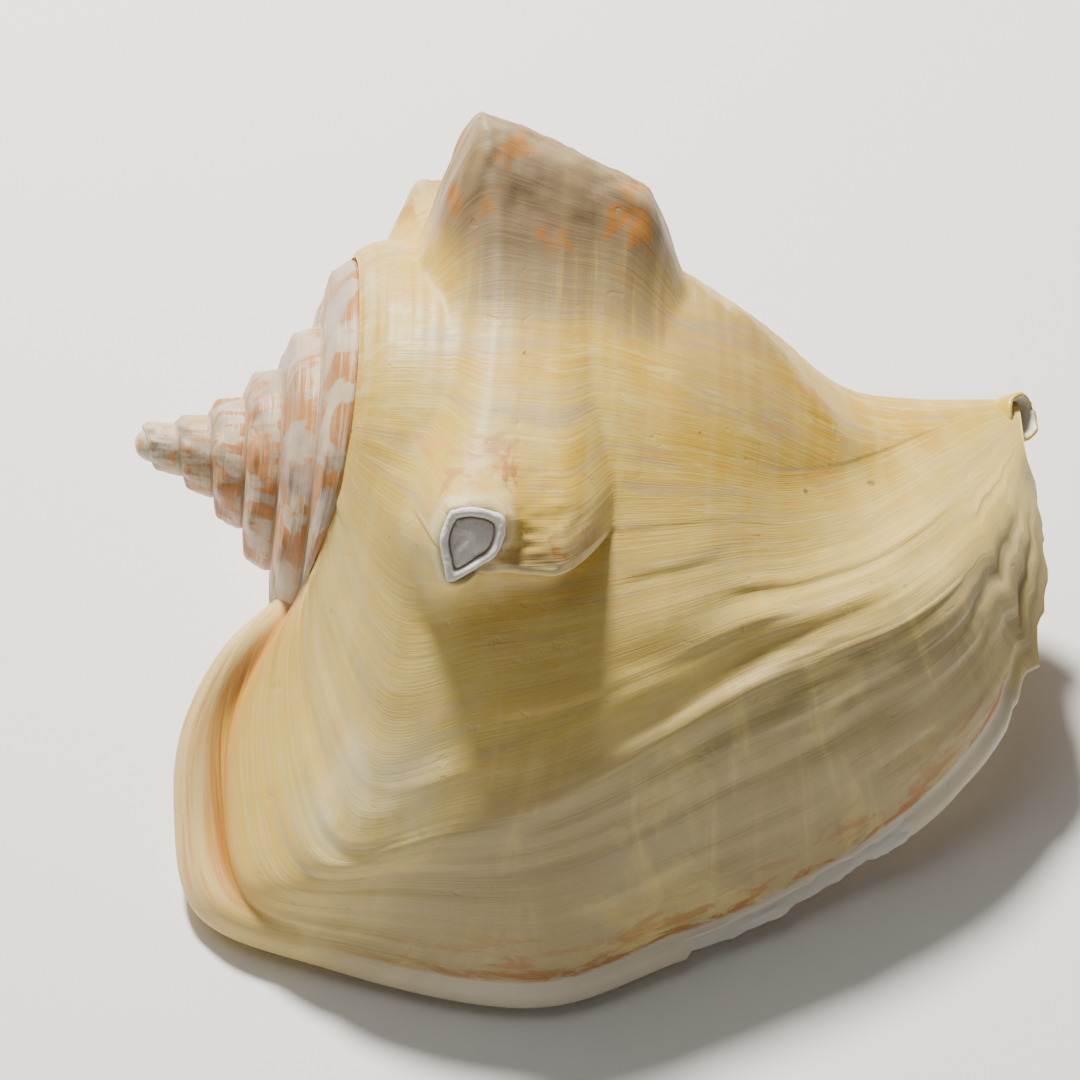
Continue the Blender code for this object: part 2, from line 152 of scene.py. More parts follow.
# Stations of the lip: share as in OUTLINE, a point on its fold, a point on its rim.
LIP = [
    (0.00, (-55.5, -42.0, 71.0), (-65.0, -31.0, 50.0)),
    (0.04, (-58.5, -50.0, 62.0), (-80.0, -43.5, 45.0)),
    (0.08, (-57.5, -62.0, 55.0), (-90.5, -56.0, 29.0)),
    (0.13, (-53.0, -81.0, 48.0), (-92.5, -75.0, 13.0)),
    (0.19, (-45.0, -97.0, 44.0), (-86.0, -95.5, 5.0)),
    (0.27, (-20.0, -98.5, 55.0), (-53.0, -110.0, 3.0)),
    (0.36, (2.0, -97.0, 62.0), (-4.0, -121.0, 2.5)),
    (0.46, (27.0, -85.0, 66.0), (34.0, -108.5, 3.0)),
    (0.56, (50.0, -71.0, 69.0), (62.0, -97.0, 5.0)),
    (0.66, (69.0, -62.0, 69.0), (84.5, -83.5, 9.0)),
    (0.76, (88.0, -51.0, 67.0), (105.0, -70.0, 18.0)),
    (0.86, (106.0, -32.0, 65.0), (121.0, -50.5, 34.0)),
    (0.94, (120.0, -8.0, 63.0), (128.0, -20.0, 54.0)),
    (1.00, (126.5, 13.0, 60.0), (126.0, 9.0, 57.0)),
]

# Shoulder knobs and the thick callus under the whorl: direction round the axis, from and to along
# it, height at both ends, how far the slope runs before and after the crest, how much softer its
# two sides get down the slope, how round its lower corners are, and how far the crest hangs over.
KNOBS = [
    (-180, -48, 44, 2.5, 2.0, 30, 30, 7, 0, 0),
    (-165, -38, -8, 3, 2, 20, 15, 7, 0, 0),
    (-122, -39, -5, 14, 7, 20, 15, 7, 0, 0),
    (-74, -44, 3, 31.5, 15, 20, 15, 7, 0, 0),
    (-27, -38.5, 21.0, 36.5, 19, 20, 17, 6, 0, 0.14),
    (45.5, -36.5, 4.0, 18.5, 15, 25, 7.5, 1, 0.6, 0.55),
]
# The crest's ends: the distances inside them over which it rises, and the power that rounds them.
KNOB_EDGE = (-3.0, 9.5)
KNOB_ROUND = 0.62
# The power of its slopes, and how much narrower it gets over these distances down them.
KNOB_FLATNESS = 3
KNOB_NARROWING = 0.5
KNOB_NARROWS = (6, 36)
KNOB_CORNERS_OVER = (0.0, 1.6)
# A knob's broad foot and its lean towards the apex, as parts of its height.
KNOB_FOOT = 0.03
KNOB_FOOT_REACH = 1.6
KNOB_LEAN = 0.06
# The distances from the axis over which a knob and the ridge rise, so that the far side has none.
KNOB_SIDE = (10, 40)
RIDGE_SIDE = (10, 30)
# A low ridge: from and to along the axis, direction at its start, turn in each mm, height, half width.
RIDGE = (16.0, 76.0, -32.0, 0.7, 3.0, 7.0)
RIDGE_RISES = (-8, 8)
RIDGE_FADES = (-30, 10)

# The broken tip of the front knob: direction round the axis, place along it and distance from it,
# and the outline of the break, along the axis and round it.
TIP_ROUND = 49.5
TIP_ALONG = -27.0
TIP_AT = 86.5
TIP_OUTLINE = [
    (-5.3, -6.0), (-0.7, -7.3), (5.7, -6.4), (7.0, -2.6), (5.7, 2.4),
    (2.6, 5.1), (-3.1, 9.5), (-5.1, 6.0), (-6.6, 1.3), (-6.4, -2.6),
]
# The body is drawn up to the break between these growth angles. The pull is halved at TIP_PULL
# outside the outline and fades out over TIP_PULL_ENDS. Under the plug the body sinks by TIP_SINK.
TIP_GROWTH = (0, 110)
TIP_PULL = 3.6
TIP_PULL_POWER = 2.5
TIP_PULL_ENDS = (9, 16)
TIP_SINK = 2.5

# Rings of the break, from below to its middle: scale of the outline, height over TIP_AT.
BREAK_PROFILE = [
    (0.96, -6.0), (1.0, -3.0), (1.03, -1.2), (1.04, -0.3), (1.02, 0.2), (0.98, 0.5), (0.92, 0.62),
    (0.86, 0.6), (0.81, 0.4), (0.77, 0.0), (0.75, -0.5), (0.73, -1.0), (0.70, -1.1), (0.67, -0.8),
    (0.62, -0.45), (0.54, -0.2), (0.43, 0.0), (0.30, 0.12), (0.17, 0.18), (0.07, 0.2),
]
BREAK_AROUND = 120

# The curled end of the canal: from and to, which way is high, half height and width, and its rings:
# step from start to end, scale, and whether they are inside the tube.
TUBE_START = (116.8, 23.5, 54.4)
TUBE_END = (124.9, 18.5, 62.5)
TUBE_HIGH = (0.0, 0.77, 0.64)
TUBE_HALF_HIGH = 6.4
TUBE_HALF_WIDE = 5.2
TUBE_PROFILE = [
    (0.0, 0.7, False), (0.3, 0.9, False), (0.6, 1.0, False), (0.85, 1.02, False), (0.97, 1.0, False),
    (1.0, 0.94, False), (1.0, 0.86, False), (0.97, 0.80, True), (0.85, 0.74, True), (0.6, 0.62, True),
    (0.4, 0.4, True), (0.3, 0.15, True),
]
TUBE_AROUND = 72

# The rolled band along the rim: share as in OUTLINE and width of the band. It rises by this part of
# its width, and fades out towards the canal.
BAND = [(0.0, 14.0), (0.08, 16.0), (0.27, 15.0), (0.42, 11.0), (0.7, 9.5), (1.0, 6.0)]
BAND_RISE = 0.06
BAND_FADE = (0.84, 0.91)
# The crease behind the band: depth as a part of the band's width, half its own width, where it fades
# at the corner of the lip, and where and how strongly it comes back along the front.
CREASE_DEPTH = 0.14
CREASE_HALF = 3.0
CREASE_FADE = (0.16, 0.25)
CREASE_RETURN = (0.34, 0.44)
CREASE_AGAIN = 0.55

# Where the rim is broken off: share as in OUTLINE, how deep the break is cut there.
CHIPS = [
    (0.0, 0), (0.466, 0), (0.47, 1.7), (0.562, 1.4), (0.566, 2.6),
    (0.652, 2.3), (0.66, 0.9), (0.695, 0.5), (0.705, 0),
]
CHIP_WIDTH = 8.0
CHIP_SLOPE = 0.9

# The broken margin by the canal: share as in OUTLINE, how far it stands back from the full rim.
MARGIN = [
    (0.0, 0), (0.835, 0), (0.842, 1.6), (0.852, 0.9), (0.862, 2.9), (0.874, 1.9), (0.880, -2.0),
    (0.885, -2.0), (0.892, 2.6), (0.900, 1.9), (0.907, 0.4), (0.914, 1.7), (0.922, 0.5),
    (0.929, 1.0), (0.934, 4.2), (0.940, 2.4), (0.946, 3.4), (0.951, 2.3), (0.958, 4.4),
    (0.966, 3.0), (0.98, 2.0), (1.0, 0),
]

# Thickness of the wall over the whorl, at the rim, at the margin by the canal and in the canal, and
# the growth or the shares over which one passes into the next.
WALL = 4.5
RIM_WALL = 7.6
RIM_WALL_OVER = (150, 205)
THIN_RIM = 2.0
THIN_RIM_OVER = (0.835, 0.875)
CANAL_WALL = 2.4
CANAL_WALL_OVER = (0.8, 0.95)

# The solid core inside the coil, just within the hidden whorl's wall.
CORE_START = -560.0
CORE_END = -200.0
CORE_SHARE = 0.965
CORE_INSET = 1.6
CORE_GRID = (90, 60)

# The pillar that the coil winds round: place along the axis and radius.
PILLAR = [(30, 5), (60, 7.5), (90, 9), (104, 8.7), (114, 7.4), (119, 4.8), (121, 1.5)]
PILLAR_GRID = (70, 64)
PILLAR_FOLD = 0.07
PILLAR_TWIST = 4.0

# Rows of the body: the hidden whorl, the last whorl and the lip, then the rounded rim.
HIDDEN_START = -430.0
SHEET_START = -215.0
ROWS = (20, 206, 196)
RIM_ROWS = 7
INNER_EVERY = 4
COLUMNS = 174
# Where columns and rows lie closer together: middle, half width and how much closer.
DENSE_COLUMNS = [
    (0.24, 0.05, 0.7), (0.468, 0.004, 4), (0.564, 0.004, 4), (0.70, 0.006, 2), (1.0, 0.06, 0.8),
]
DENSE_WHORL = [(0.95, 0.30, 0.8), (0.79, 0.035, 2.5)]
DENSE_LIP = [(0.14, 0.08, 1.4), (1.0, 0.08, 0.6)]

# Distances for the relief and colours: across the coil for share 0 to 1, and along the growth for
# each degree of the whorl and for the whole lip. Then how far the lip's growth angle goes on.
SPAN = 190
FLOW_A_DEGREE = 1.05
FLOW_OF_LIP = 178
TURN_OF_LIP = 170
# The growth angles over which the relief of the lip and of its steep skirt sets in.
LIP_RELIEF = (30, 70)
SKIRT_RELIEF = (120, 145)
# The lift of a knob over which its surface is worn rough.
WORN_LIFT = (7, 22)
# The sharpest bulge that counts as an edge, and how many times the measure is smoothed.
EDGE_CAP = 0.3
EDGE_PASSES = 4

# The stage. The camera looks at a point over the middle of the box, and its focal length is in
# pixels of the photograph.
PHOTO_SIZE = 1080
FOCAL_PIXELS = 2487
SENSOR = 36
LOOK_AT = (0, 0, 35.0)
CAMERA_AWAY = (0, -417.8, 497.9)
CAMERA_TILT = 40
FLOOR_HALF = 2000.0
# Lights: name, direction, distance and size in metres, power in watts, colour.
LIGHTS = [
    ("key", (-0.19, 0.55, 0.81), 1.6, 0.26, 66, (1.0, 0.95, 0.88)),
    ("top", (-0.30, 0.20, 1.0), 1.6, 1.2, 5, (1.0, 0.98, 0.95)),
]
LIGHTS_AIM = (0, 0, 50.0)
ROOM = (1.0, 0.98, 0.95, 1)
ROOM_STRENGTH = 0.085


def cubic(t, start, start_slope, end, end_slope):
    return (
        (2 * t**3 - 3 * t**2 + 1) * start
        + (t**3 - 2 * t**2 + t) * start_slope
        + (3 * t**2 - 2 * t**3) * end
        + (t**3 - t**2) * end_slope
    )


def spline(at, knots, values):
    """A smooth curve through the values, whose slope at each is the mean of its neighbours'."""
    knots = np.asarray(knots, float)
    values = np.asarray(values, float).reshape(len(knots), -1)
    steps = np.diff(knots)[:, None]
    chords = np.diff(values, axis=0) / steps
    slopes = np.empty_like(values)
    slopes[0] = chords[0]
    slopes[-1] = chords[-1]
    slopes[1:-1] = (chords[:-1] * steps[1:] + chords[1:] * steps[:-1]) / (steps[1:] + steps[:-1])
    i = np.clip(np.searchsorted(knots, at, side="right") - 1, 0, len(knots) - 2)
    width = (knots[i + 1] - knots[i])[..., None]
    t = (np.asarray(at, float) - knots[i])[..., None] / width
    return cubic(t, values[i], slopes[i] * width, values[i + 1], slopes[i + 1] * width)


def column(rows, item):
    return [row[item] for row in rows]


def curve(at, rows):
    """A smooth curve through rows of a place and its values."""
    return spline(at, column(rows, 0), [row[1:] for row in rows])


def straight(at, rows):
    """Straight lines through rows of a place and its value."""
    return np.interp(at, column(rows, 0), column(rows, 1))


def ease(x, low, high):
    t = np.clip((x - low) / (high - low), 0, 1)
    return t * t * (3 - 2 * t)


def bell(x, middle, half):
    return np.exp(-(((x - middle) / half) ** 2))


def unit(vectors):
    return vectors / np.linalg.norm(vectors, axis=-1, keepdims=True)


def noise(x, y, seed):
    """Smooth random heights from -1 to 1 with one bump to each unit of x and y."""
    x, y = np.broadcast_arrays(x, y)
    i, j = np.floor(x), np.floor(y)
    f, g = x - i, y - j
    f, g = f * f * (3 - 2 * f), g * g * (3 - 2 * g)

    def corner(a, b):
        h = np.sin(a * 127.1 + b * 311.7 + seed * 74.7) * 43758.5453
        return (h - np.floor(h)) * 2 - 1

    low = corner(i, j) * (1 - f) + corner(i + 1, j) * f
    high = corner(i, j + 1) * (1 - f) + corner(i + 1, j + 1) * f
    return low * (1 - g) + high * g


def outward(degrees_round):
    """The direction away from the axis: 0 is up, and 90 is towards the lip."""
    angle = np.radians(degrees_round)
    return np.cos(angle)[..., None] * UP + np.sin(angle)[..., None] * SIDE


def place(along, radius, degrees_round):
    """Points from their place along the axis, distance from it and direction round it."""
    t = np.clip((along - CANAL_BEND_FROM) / (CANAL_END - CANAL_BEND_FROM), 0, None)
    bend = (CANAL_BEND * t**2)[..., None] * outward(CANAL_BEND_ROUND)
    return AXIS_POINT + along[..., None] * ALONG + bend + radius[..., None] * outward(degrees_round)


def seam(growth):
    """Place along the axis and radius of the seam: a shrinking helix, then the climb to the lip."""
    turns = (growth - SILHOUETTE_AT) / 360
    along = SEAM[0][1] + SPIRE_PITCH * turns + SPIRE_GATHER * (1 - np.exp(SPIRE_GATHER_RATE * turns))
    radius = SEAM[0][2] * np.exp(SPIRE_GROWTH * turns)
    climb = curve(growth, SEAM)
    late = growth > SILHOUETTE_AT
    return np.where(late, climb[..., 0], along), np.where(late, climb[..., 1], radius)


def whorl(growth, share):
    """The outer face of the coil, which shrinks towards the apex with each turn back."""
    growth, share = np.broadcast_arrays(np.asarray(growth, float), np.asarray(share, float))
    outline = curve(share, OUTLINE)
    turns = (growth - SILHOUETTE_AT) / 360
    early = np.minimum(turns, 0)
    stretch = np.exp(STRETCH * early)
    swell = np.exp(GROWTH * early + LAST_GROWTH * np.maximum(turns, 0))
    along = APEX_AT + (outline[..., 0] - APEX_AT) * stretch
    radius = outline[..., 1] * swell
    seam_along, seam_radius = seam(growth)
    hold = 1 - ease(share, 0, RAMP_ENDS)
    along = along + (seam_along - APEX_AT - (OUTLINE[0][1] - APEX_AT) * stretch) * hold
    radius = radius + (seam_radius - OUTLINE[0][2] * swell) * hold
    return place(along, radius, growth)


def lip_start(share):
    return LIP_FROM - LIP_EARLIER * ease(share, *LIP_EARLIER_OVER)


def lip_lines(share):
    """Points on the lip's fold and on its rim."""
    return [spline(share, column(LIP, 0), column(LIP, item)) for item in (1, 2)]


def lip(reach, share):
    """The flared lip, from the whorl at reach 0 over its fold to the rim at reach 1."""
    fold, rim = lip_lines(share)
    start = whorl(lip_start(share), share)
    heading = unit(start - whorl(lip_start(share) - 1, share))
    top_length = np.linalg.norm(fold - start, axis=-1, keepdims=True)
    drop = np.linalg.norm(rim - fold, axis=-1, keepdims=True)
    over = unit((fold - start) / top_length + (rim - fold) / drop)
    t_top = np.clip(reach / LIP_FOLD, 0, 1)[..., None]
    t_skirt = np.maximum((reach - LIP_FOLD) / (1 - LIP_FOLD), 0)[..., None]
    leaving = heading * top_length * START_FULLNESS
    top = cubic(t_top, start, leaving, fold, over * top_length * FOLD_FULLNESS)
    skirt = cubic(t_skirt, fold, over * drop * FOLD_FULLNESS, rim, (rim - fold) * RIM_FULLNESS)
    return np.where(t_top < 1, top, skirt)


def from_break(across_axis, round_axis):
    """Distance outside the outline of the broken tip, negative inside."""
    points = np.array(TIP_OUTLINE + TIP_OUTLINE[:1])
    angles = np.unwrap(np.arctan2(points[:, 1], points[:, 0]))
    radii = np.hypot(points[:, 0], points[:, 1])
    start = angles[0]
    here = start + np.mod(np.arctan2(round_axis, across_axis) - start, 2 * np.pi)
    edge = spline(here, angles, radii)[..., 0]
    return np.hypot(across_axis, round_axis) - edge


def knob_lift(points):
    """How far the knobs and the ridge lift each point, as a vector."""
    from_axis = points - AXIS_POINT
    along = from_axis @ ALONG
    lift = np.zeros_like(points)
    for at, start, end, high, low, before, after, softness, corner, hang in KNOBS:
        out = outward(at)
        across = from_axis @ outward(at + 90)
        same_side = ease(from_axis @ out, *KNOB_SIDE)
        narrowing = 1 + KNOB_NARROWING * ease(np.abs(across), *KNOB_NARROWS)
        narrowing += corner * ease(across / after, *KNOB_CORNERS_OVER)
        half = (end - start) / 2
        off = np.abs(along - (start + end) / 2) * narrowing
        crest = 1 / (1 + np.abs(across / np.where(across < 0, before, after)) ** KNOB_FLATNESS)
        soft = (1 - crest) * softness
        length = ease(half - off, KNOB_EDGE[0] - soft, KNOB_EDGE[1] + soft) ** KNOB_ROUND
        length += KNOB_FOOT * bell(off, 0, half * KNOB_FOOT_REACH)
        height = high + (low - high) * np.clip((along - start) / (end - start), 0, 1)
        way = out - KNOB_LEAN * ALONG + hang * outward(at + 90)
        lift += (height * length * crest * same_side)[..., None] * way
    start, end, at, turn, height, half = RIDGE
    out = outward(at + turn * (along - start))
    across = (from_axis * outward(at + 90 + turn * (along - start))).sum(axis=-1)
    same_side = ease((from_axis * out).sum(axis=-1), *RIDGE_SIDE)
    length = ease(along - start, *RIDGE_RISES) * (1 - ease(along - end, *RIDGE_FADES))
    lift += (height * length * same_side * bell(across, 0, half))[..., None] * out
    return lift


def tip_lift(points, near):
    """The lift that draws points up to the flat break, and their distance outside its outline."""
    from_axis = points - AXIS_POINT
    out = outward(TIP_ROUND)
    across_axis = from_axis @ ALONG - TIP_ALONG
    round_axis = from_axis @ outward(TIP_ROUND + 90)
    outside = np.where(near, from_break(across_axis, round_axis), FAR)
    pull = 1 / (1 + (np.maximum(outside, 0) / TIP_PULL) ** TIP_PULL_POWER)
    pull = pull * (1 - ease(outside, *TIP_PULL_ENDS))
    rise = (TIP_AT - from_axis @ out) * pull
    return rise[..., None] * out, outside


def normals(face):
    return unit(np.cross(np.gradient(face, axis=0), np.gradient(face, axis=1)))


def edges(face):
    """How sharply a face bulges: the radians that its normal turns in each mm, smoothed."""
    normal = normals(face)
    bulge = np.zeros(face.shape[:2])
    for axis in (0, 1):
        step = np.gradient(face, axis=axis)
        bulge += (step * np.gradient(normal, axis=axis)).sum(axis=-1) / (step**2).sum(axis=-1)
    bulge = np.clip(bulge, -EDGE_CAP, EDGE_CAP)
    for _ in range(EDGE_PASSES):
        bulge[1:-1] = (bulge[:-2] + 2 * bulge[1:-1] + bulge[2:]) / 4
        bulge[:, 1:-1] = (bulge[:, :-2] + 2 * bulge[:, 1:-1] + bulge[:, 2:]) / 4
    return bulge


def body_faces():
    """Rows and columns of the body's plain outer face, and what its relief and colours need."""
    share = spacing(COLUMNS, DENSE_COLUMNS)[None] * SHARE_END
    hidden, last, flare = ROWS
    start = np.linspace(0, 1, hidden, endpoint=False)[:, None]
    middle = spacing(last + 1, DENSE_WHORL)[:-1, None]
    reach = spacing(flare, DENSE_LIP)[:, None]
    rim_wall = RIM_WALL + (THIN_RIM - RIM_WALL) * ease(share, *THIN_RIM_OVER)
    fold, rim = lip_lines(share[0])
    drop = np.linalg.norm(rim - fold, axis=-1)[None]
    # The face ends sooner by half the wall, which the rounded rim adds, and by the broken margin.
    reach_end = 1 - (rim_wall / 2 + straight(share, MARGIN)) / drop * (1 - LIP_FOLD)
    growth = np.concatenate([
        HIDDEN_START + (SHEET_START - HIDDEN_START) * start + 0 * share,
        SHEET_START + (lip_start(share) - SHEET_START) * middle,
    ])
    plain = np.concatenate([whorl(growth, share), lip(reach * reach_end, share)])
    turn = np.concatenate([growth, lip_start(share) + reach * TURN_OF_LIP])
    on_lip = LIP_FROM * FLOW_A_DEGREE + reach * FLOW_OF_LIP + 0 * share
    flow = np.concatenate([growth * FLOW_A_DEGREE, on_lip])
    return plain, turn, flow, share + 0 * flow, rim_wall


def spacing(count, dense):
    """Numbers from 0 to 1, closer together around each (middle, half width, extra) in dense."""
    t = np.linspace(0, 1, 2000)
    rate = 1 + sum(extra * bell(t, middle, half) for middle, half, extra in dense)
    total = np.concatenate([[0], np.cumsum((rate[1:] + rate[:-1]) / 2)])
    return np.interp(np.linspace(0, total[-1], count), total, t)


def relief(plain, turn, flow, share):
    """The fine relief of the outer face: heights times noise over the lengths of its bumps."""
    v = share * SPAN
    # The relief fades where rows crowd together.
    step = np.linalg.norm(np.gradient(plain, axis=0), axis=-1)
    gain = ease(step, 0.1, 0.55)
    on_lip = ease(turn, *LIP_RELIEF)
    on_skirt = ease(turn, *SKIRT_RELIEF)
    wander = flow + 2.2 * noise(v / 34, flow / 60, 3) + 0.8 * noise(v / 12, flow / 40, 4)
    growth_lines = 0.13 * noise(wander / 3.6, v / 45, 6) + 0.22 * noise(wander / 9.5, v / 55, 7)
    growth_lines = growth_lines * (0.55 + 0.45 * noise(flow / 45, v / 50, 13))
    growth_lines = growth_lines * (1 + 0.9 * on_skirt)
    growth_lines += 0.32 * on_skirt * noise(wander / 6.5, v / 24, 20)
    # Where growth paused, one sheet of the lip ends a little above the next.
    pause = (wander + 3 * noise(v / 25, 0, 14)) / 15
    pause = ease(pause - np.floor(pause), 0.0, 0.85) - ease(pause - np.floor(pause), 0.85, 1.0)
    growth_lines += 0.38 * pause * ease(noise(v / 22, wander / 15, 15), -0.1, 0.5) * on_lip
    cords = 0.10 * np.sin(v * 2 * np.pi / 4.4 + 1.5 * noise(v / 20, flow / 50, 8))
    cords = cords * (1 - ease(turn, -20, 40)) + on_lip * 0.12 * noise(v / 6, flow / 70, 9)
    wrinkles = 1.25 * noise(wander / 15, v / 22, 10) * on_lip * bell(turn, 120, 60)
    wrinkles = wrinkles * ease(share, 0.25, 0.4)
    lumps = 0.8 * noise(flow / 9, v / 12, 11) * on_lip * bell(turn, 125, 32)
    small = 0.45 * noise(flow / 4, v / 7, 18) * on_lip * bell(turn, 135, 22)
    lumps += small * ease(noise(flow / 30, v / 30, 19), 0, 0.6)
    broad = 0.6 * noise(flow / 40, v / 30, 12)
    return (growth_lines + cords + wrinkles + lumps + broad) * gain


def band_height(share, from_rim):
    """Height of the rolled band along the rim, less the crease behind it."""
    width = curve(share, BAND)[..., 0]
    shallow = 1 - ease(share, *CREASE_FADE) + CREASE_AGAIN * ease(share, *CREASE_RETURN)
    crease = CREASE_DEPTH * shallow * bell(from_rim, width, CREASE_HALF)
    roll = BAND_RISE * bell(from_rim, width / 2, width / 3)
    return (roll - crease) * width * (1 - ease(share, *BAND_FADE))


def carved_body():
    """The body's outer and inner face with all its relief, and what its colours need."""
    plain, turn, flow, share, rim_wall = body_faces()
    weight = ease(turn, SHEET_START - 12, SHEET_START + 8)
    lift = knob_lift(plain)
    outer = plain + lift * weight[..., None]
    tip, outside = tip_lift(outer, (turn > TIP_GROWTH[0]) & (turn < TIP_GROWTH[1]))
    outer = outer + tip
    normal = normals(outer)
    edge = edges(outer)
    from_rim = np.linalg.norm(plain - plain[-1:], axis=-1) + rim_wall / 2
    from_rim = np.where(turn > 60, from_rim, FAR)
    height = band_height(share, from_rim)
    fine = relief(outer, turn, flow, share)
    worn = ease(np.linalg.norm(lift, axis=-1), *WORN_LIFT)
    v = share * SPAN
    fine = fine * (1 - 0.85 * worn)
    fine += worn * (0.45 * noise(flow / 3.4, v / 3.4, 16) + 0.3 * noise(flow / 1.7, v / 1.7, 17) - 0.2)
    fine = fine * (1 - 0.7 * bell(from_rim, 0, 4)) * ease(share, 0, 0.02)
    fine = fine * (1 - 0.8 * ease(share, 0.9, 1.0)) * ease(outside, -1.0, 0.6)
    chip_depth = straight(share, CHIPS)
    chip_width = CHIP_WIDTH + 0.8 * noise(share * 60, 0, 22)
    chipped = (1 - ease(from_rim, chip_width - CHIP_SLOPE, chip_width)) * ease(chip_depth, 0, 0.6)
    rough = 0.5 * noise(v / 2.6, from_rim / 1.7, 23) + 0.3 * noise(v / 1.3, from_rim / 0.9, 24)
    fine = fine * (1 - chipped) - chipped * (chip_depth + rough - height)
    outer = outer + normal * (height + fine)[..., None]
    # Inside the broken tip the surface sinks below the plug, which is a piece of its own.
    outer = outer - (TIP_SINK * ease(-outside, 0.3, 1.6))[..., None] * outward(TIP_ROUND)
    wall = WALL + (rim_wall - WALL) * ease(flow, *RIM_WALL_OVER)
    wall = wall + (CANAL_WALL - wall) * ease(share, *CANAL_WALL_OVER)
    # The inner face lies below the plain one, so the rim gets thinner where its outer face is chipped.
    inner = plain - normals(plain) * wall[..., None]
    raised = np.linalg.norm(lift, axis=-1) * weight
    return outer, inner, plain, flow, share, from_rim, chipped, raised, edge


def new_object(name, data):
    obj = bpy.data.objects.new(name, data)
    bpy.context.scene.collection.objects.link(obj)
    return obj


def new_mesh(name, points, faces, attributes):
    """A piece of the shell that faces outward, with values for its colours at each point."""
    points = (points - BOX_CENTRE) * MM
    low, high = np.array(CAD_BOX)
    points = np.clip(points, low + BOX_MARGIN * MM, high - BOX_MARGIN * MM)
    mesh = bpy.data.meshes.new(name)
    mesh.from_pydata(points.tolist(), [], faces)
    shape = bmesh.new()
    shape.from_mesh(mesh)
    if shape.calc_volume(signed=True) < 0:
        mesh.flip_normals()
    shape.free()
    mesh.polygons.foreach_set("use_smooth", np.ones(len(mesh.polygons), bool))
    for key, values in attributes.items():
        layer = mesh.attributes.new(key, "FLOAT", "POINT")
        layer.data.foreach_set("value", np.ravel(values).astype(np.float32))
    piece = new_object(name, mesh)
    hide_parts("shell")
    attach(piece, "root")
    return piece


def grid_faces(rows, columns):
    i, k = np.meshgrid(np.arange(rows - 1), np.arange(columns - 1), indexing="ij")
    a = i * columns + k
    return np.stack([a, a + columns, a + columns + 1, a + 1], axis=-1).reshape(-1, 4).tolist()


def make_body():
    """The last whorl and the lip as one closed wall, with a rounded rim."""
    outer, inner, plain, flow, share, from_rim, chipped, raised, edge = carved_body()
    rows, columns = flow.shape
    middle = (outer[-1] + inner[-1]) / 2
    half = (outer[-1] - inner[-1]) / 2
    ahead = unit(plain[-1] - plain[-3]) * np.linalg.norm(half, axis=-1, keepdims=True)
    arc = []
    for angle in np.linspace(0, np.pi, RIM_ROWS + 2)[1:-1]:
        arc.append(middle + cos(angle) * half + sin(angle) * ahead)
    in_rows = np.arange(rows - 1, -1, -INNER_EVERY)
    if in_rows[-1] != 0:
        in_rows = np.append(in_rows, 0)
    sheet = np.concatenate([outer, np.array(arc), inner[in_rows]])
    total = len(sheet)
    faces = grid_faces(total, columns)
    last = (total - 1) * columns
    faces += [[last + k, k, k + 1, last + k + 1] for k in range(columns - 1)]
    for end in (0, columns - 1):
        loop = [row * columns + end for row in range(total)]
        faces += close_end(loop, rows, RIM_ROWS, end == 0)

    def joined(on_outer, on_rim, on_inner):
        """Values for the outer face, the rounded rim and the inner face, in the order of the points."""
        parts = [(on_outer, rows), (on_rim, RIM_ROWS), (on_inner, len(in_rows))]
        return np.concatenate([np.broadcast_to(values, (count, columns)) for values, count in parts])

    attributes = {
        "grow": joined(flow, flow[-1], flow[in_rows]),
        "across": joined(share, share[-1], share[-1]) * SPAN,
        "rim": joined(from_rim, from_rim[-1] * 0.3, from_rim[in_rows]),
        "broken": joined(chipped, chipped[-1] * np.linspace(1, 0, RIM_ROWS)[:, None], 0),
        "inside": joined(0, np.linspace(0, 0.4, RIM_ROWS)[:, None], 1),
        "knob": joined(raised, 0, 0),
        "edge": joined(edge, 0, 0),
    }
    return new_mesh("shell_body", sheet.reshape(-1, 3), faces, attributes)


def close_end(loop, rows, arc, flip):
    """Faces between the outer and inner edge of one end of the wall, matched row by row."""
    outer = loop[:rows]
    inner = loop[rows + arc:][::-1]
    faces = []
    n, m = len(outer), len(inner)
    i = j = 0
    while i < n - 1 or j < m - 1:
        if j == m - 1 or (i < n - 1 and (i + 1) / (n - 1) <= (j + 1) / (m - 1)):
            face = [outer[i], outer[i + 1], inner[j]]
            i += 1
        else:
            face = [outer[i], inner[j + 1], inner[j]]
            j += 1
        faces.append(face if flip else face[::-1])
    tail = [outer[-1], *loop[rows:rows + arc], inner[-1]]
    faces.append(tail if flip else tail[::-1])
    return faces


def make_core():
    """The solid whorl before the last, which fills the coil."""
    rows, columns = CORE_GRID
    growth = np.linspace(CORE_START, CORE_END, rows)[None]
    share = np.linspace(0, CORE_SHARE, columns)[:, None]
    return stack_rings("shell_core", whorl(growth, share) - CORE_INSET * outward(growth + 0 * share), {})


def ring_faces(rows, columns):
    """Faces round a stack of closed rings; the middles of its two ends are the last two points."""
    faces = []
    for k in range(columns):
        j = (k + 1) % columns
        for i in range(rows - 1):
            faces.append([i * columns + k, i * columns + j, (i + 1) * columns + j, (i + 1) * columns + k])
        faces.append([rows * columns, j, k])
        faces.append([rows * columns + 1, (rows - 1) * columns + k, (rows - 1) * columns + j])
    return faces


def stack_rings(name, rings, attributes):
    """A closed piece from a stack of rings of points."""
    grid = np.array(rings)
    points = np.concatenate([grid.reshape(-1, 3), [grid[0].mean(axis=0), grid[-1].mean(axis=0)]])
    return new_mesh(name, points, ring_faces(*grid.shape[:2]), attributes)


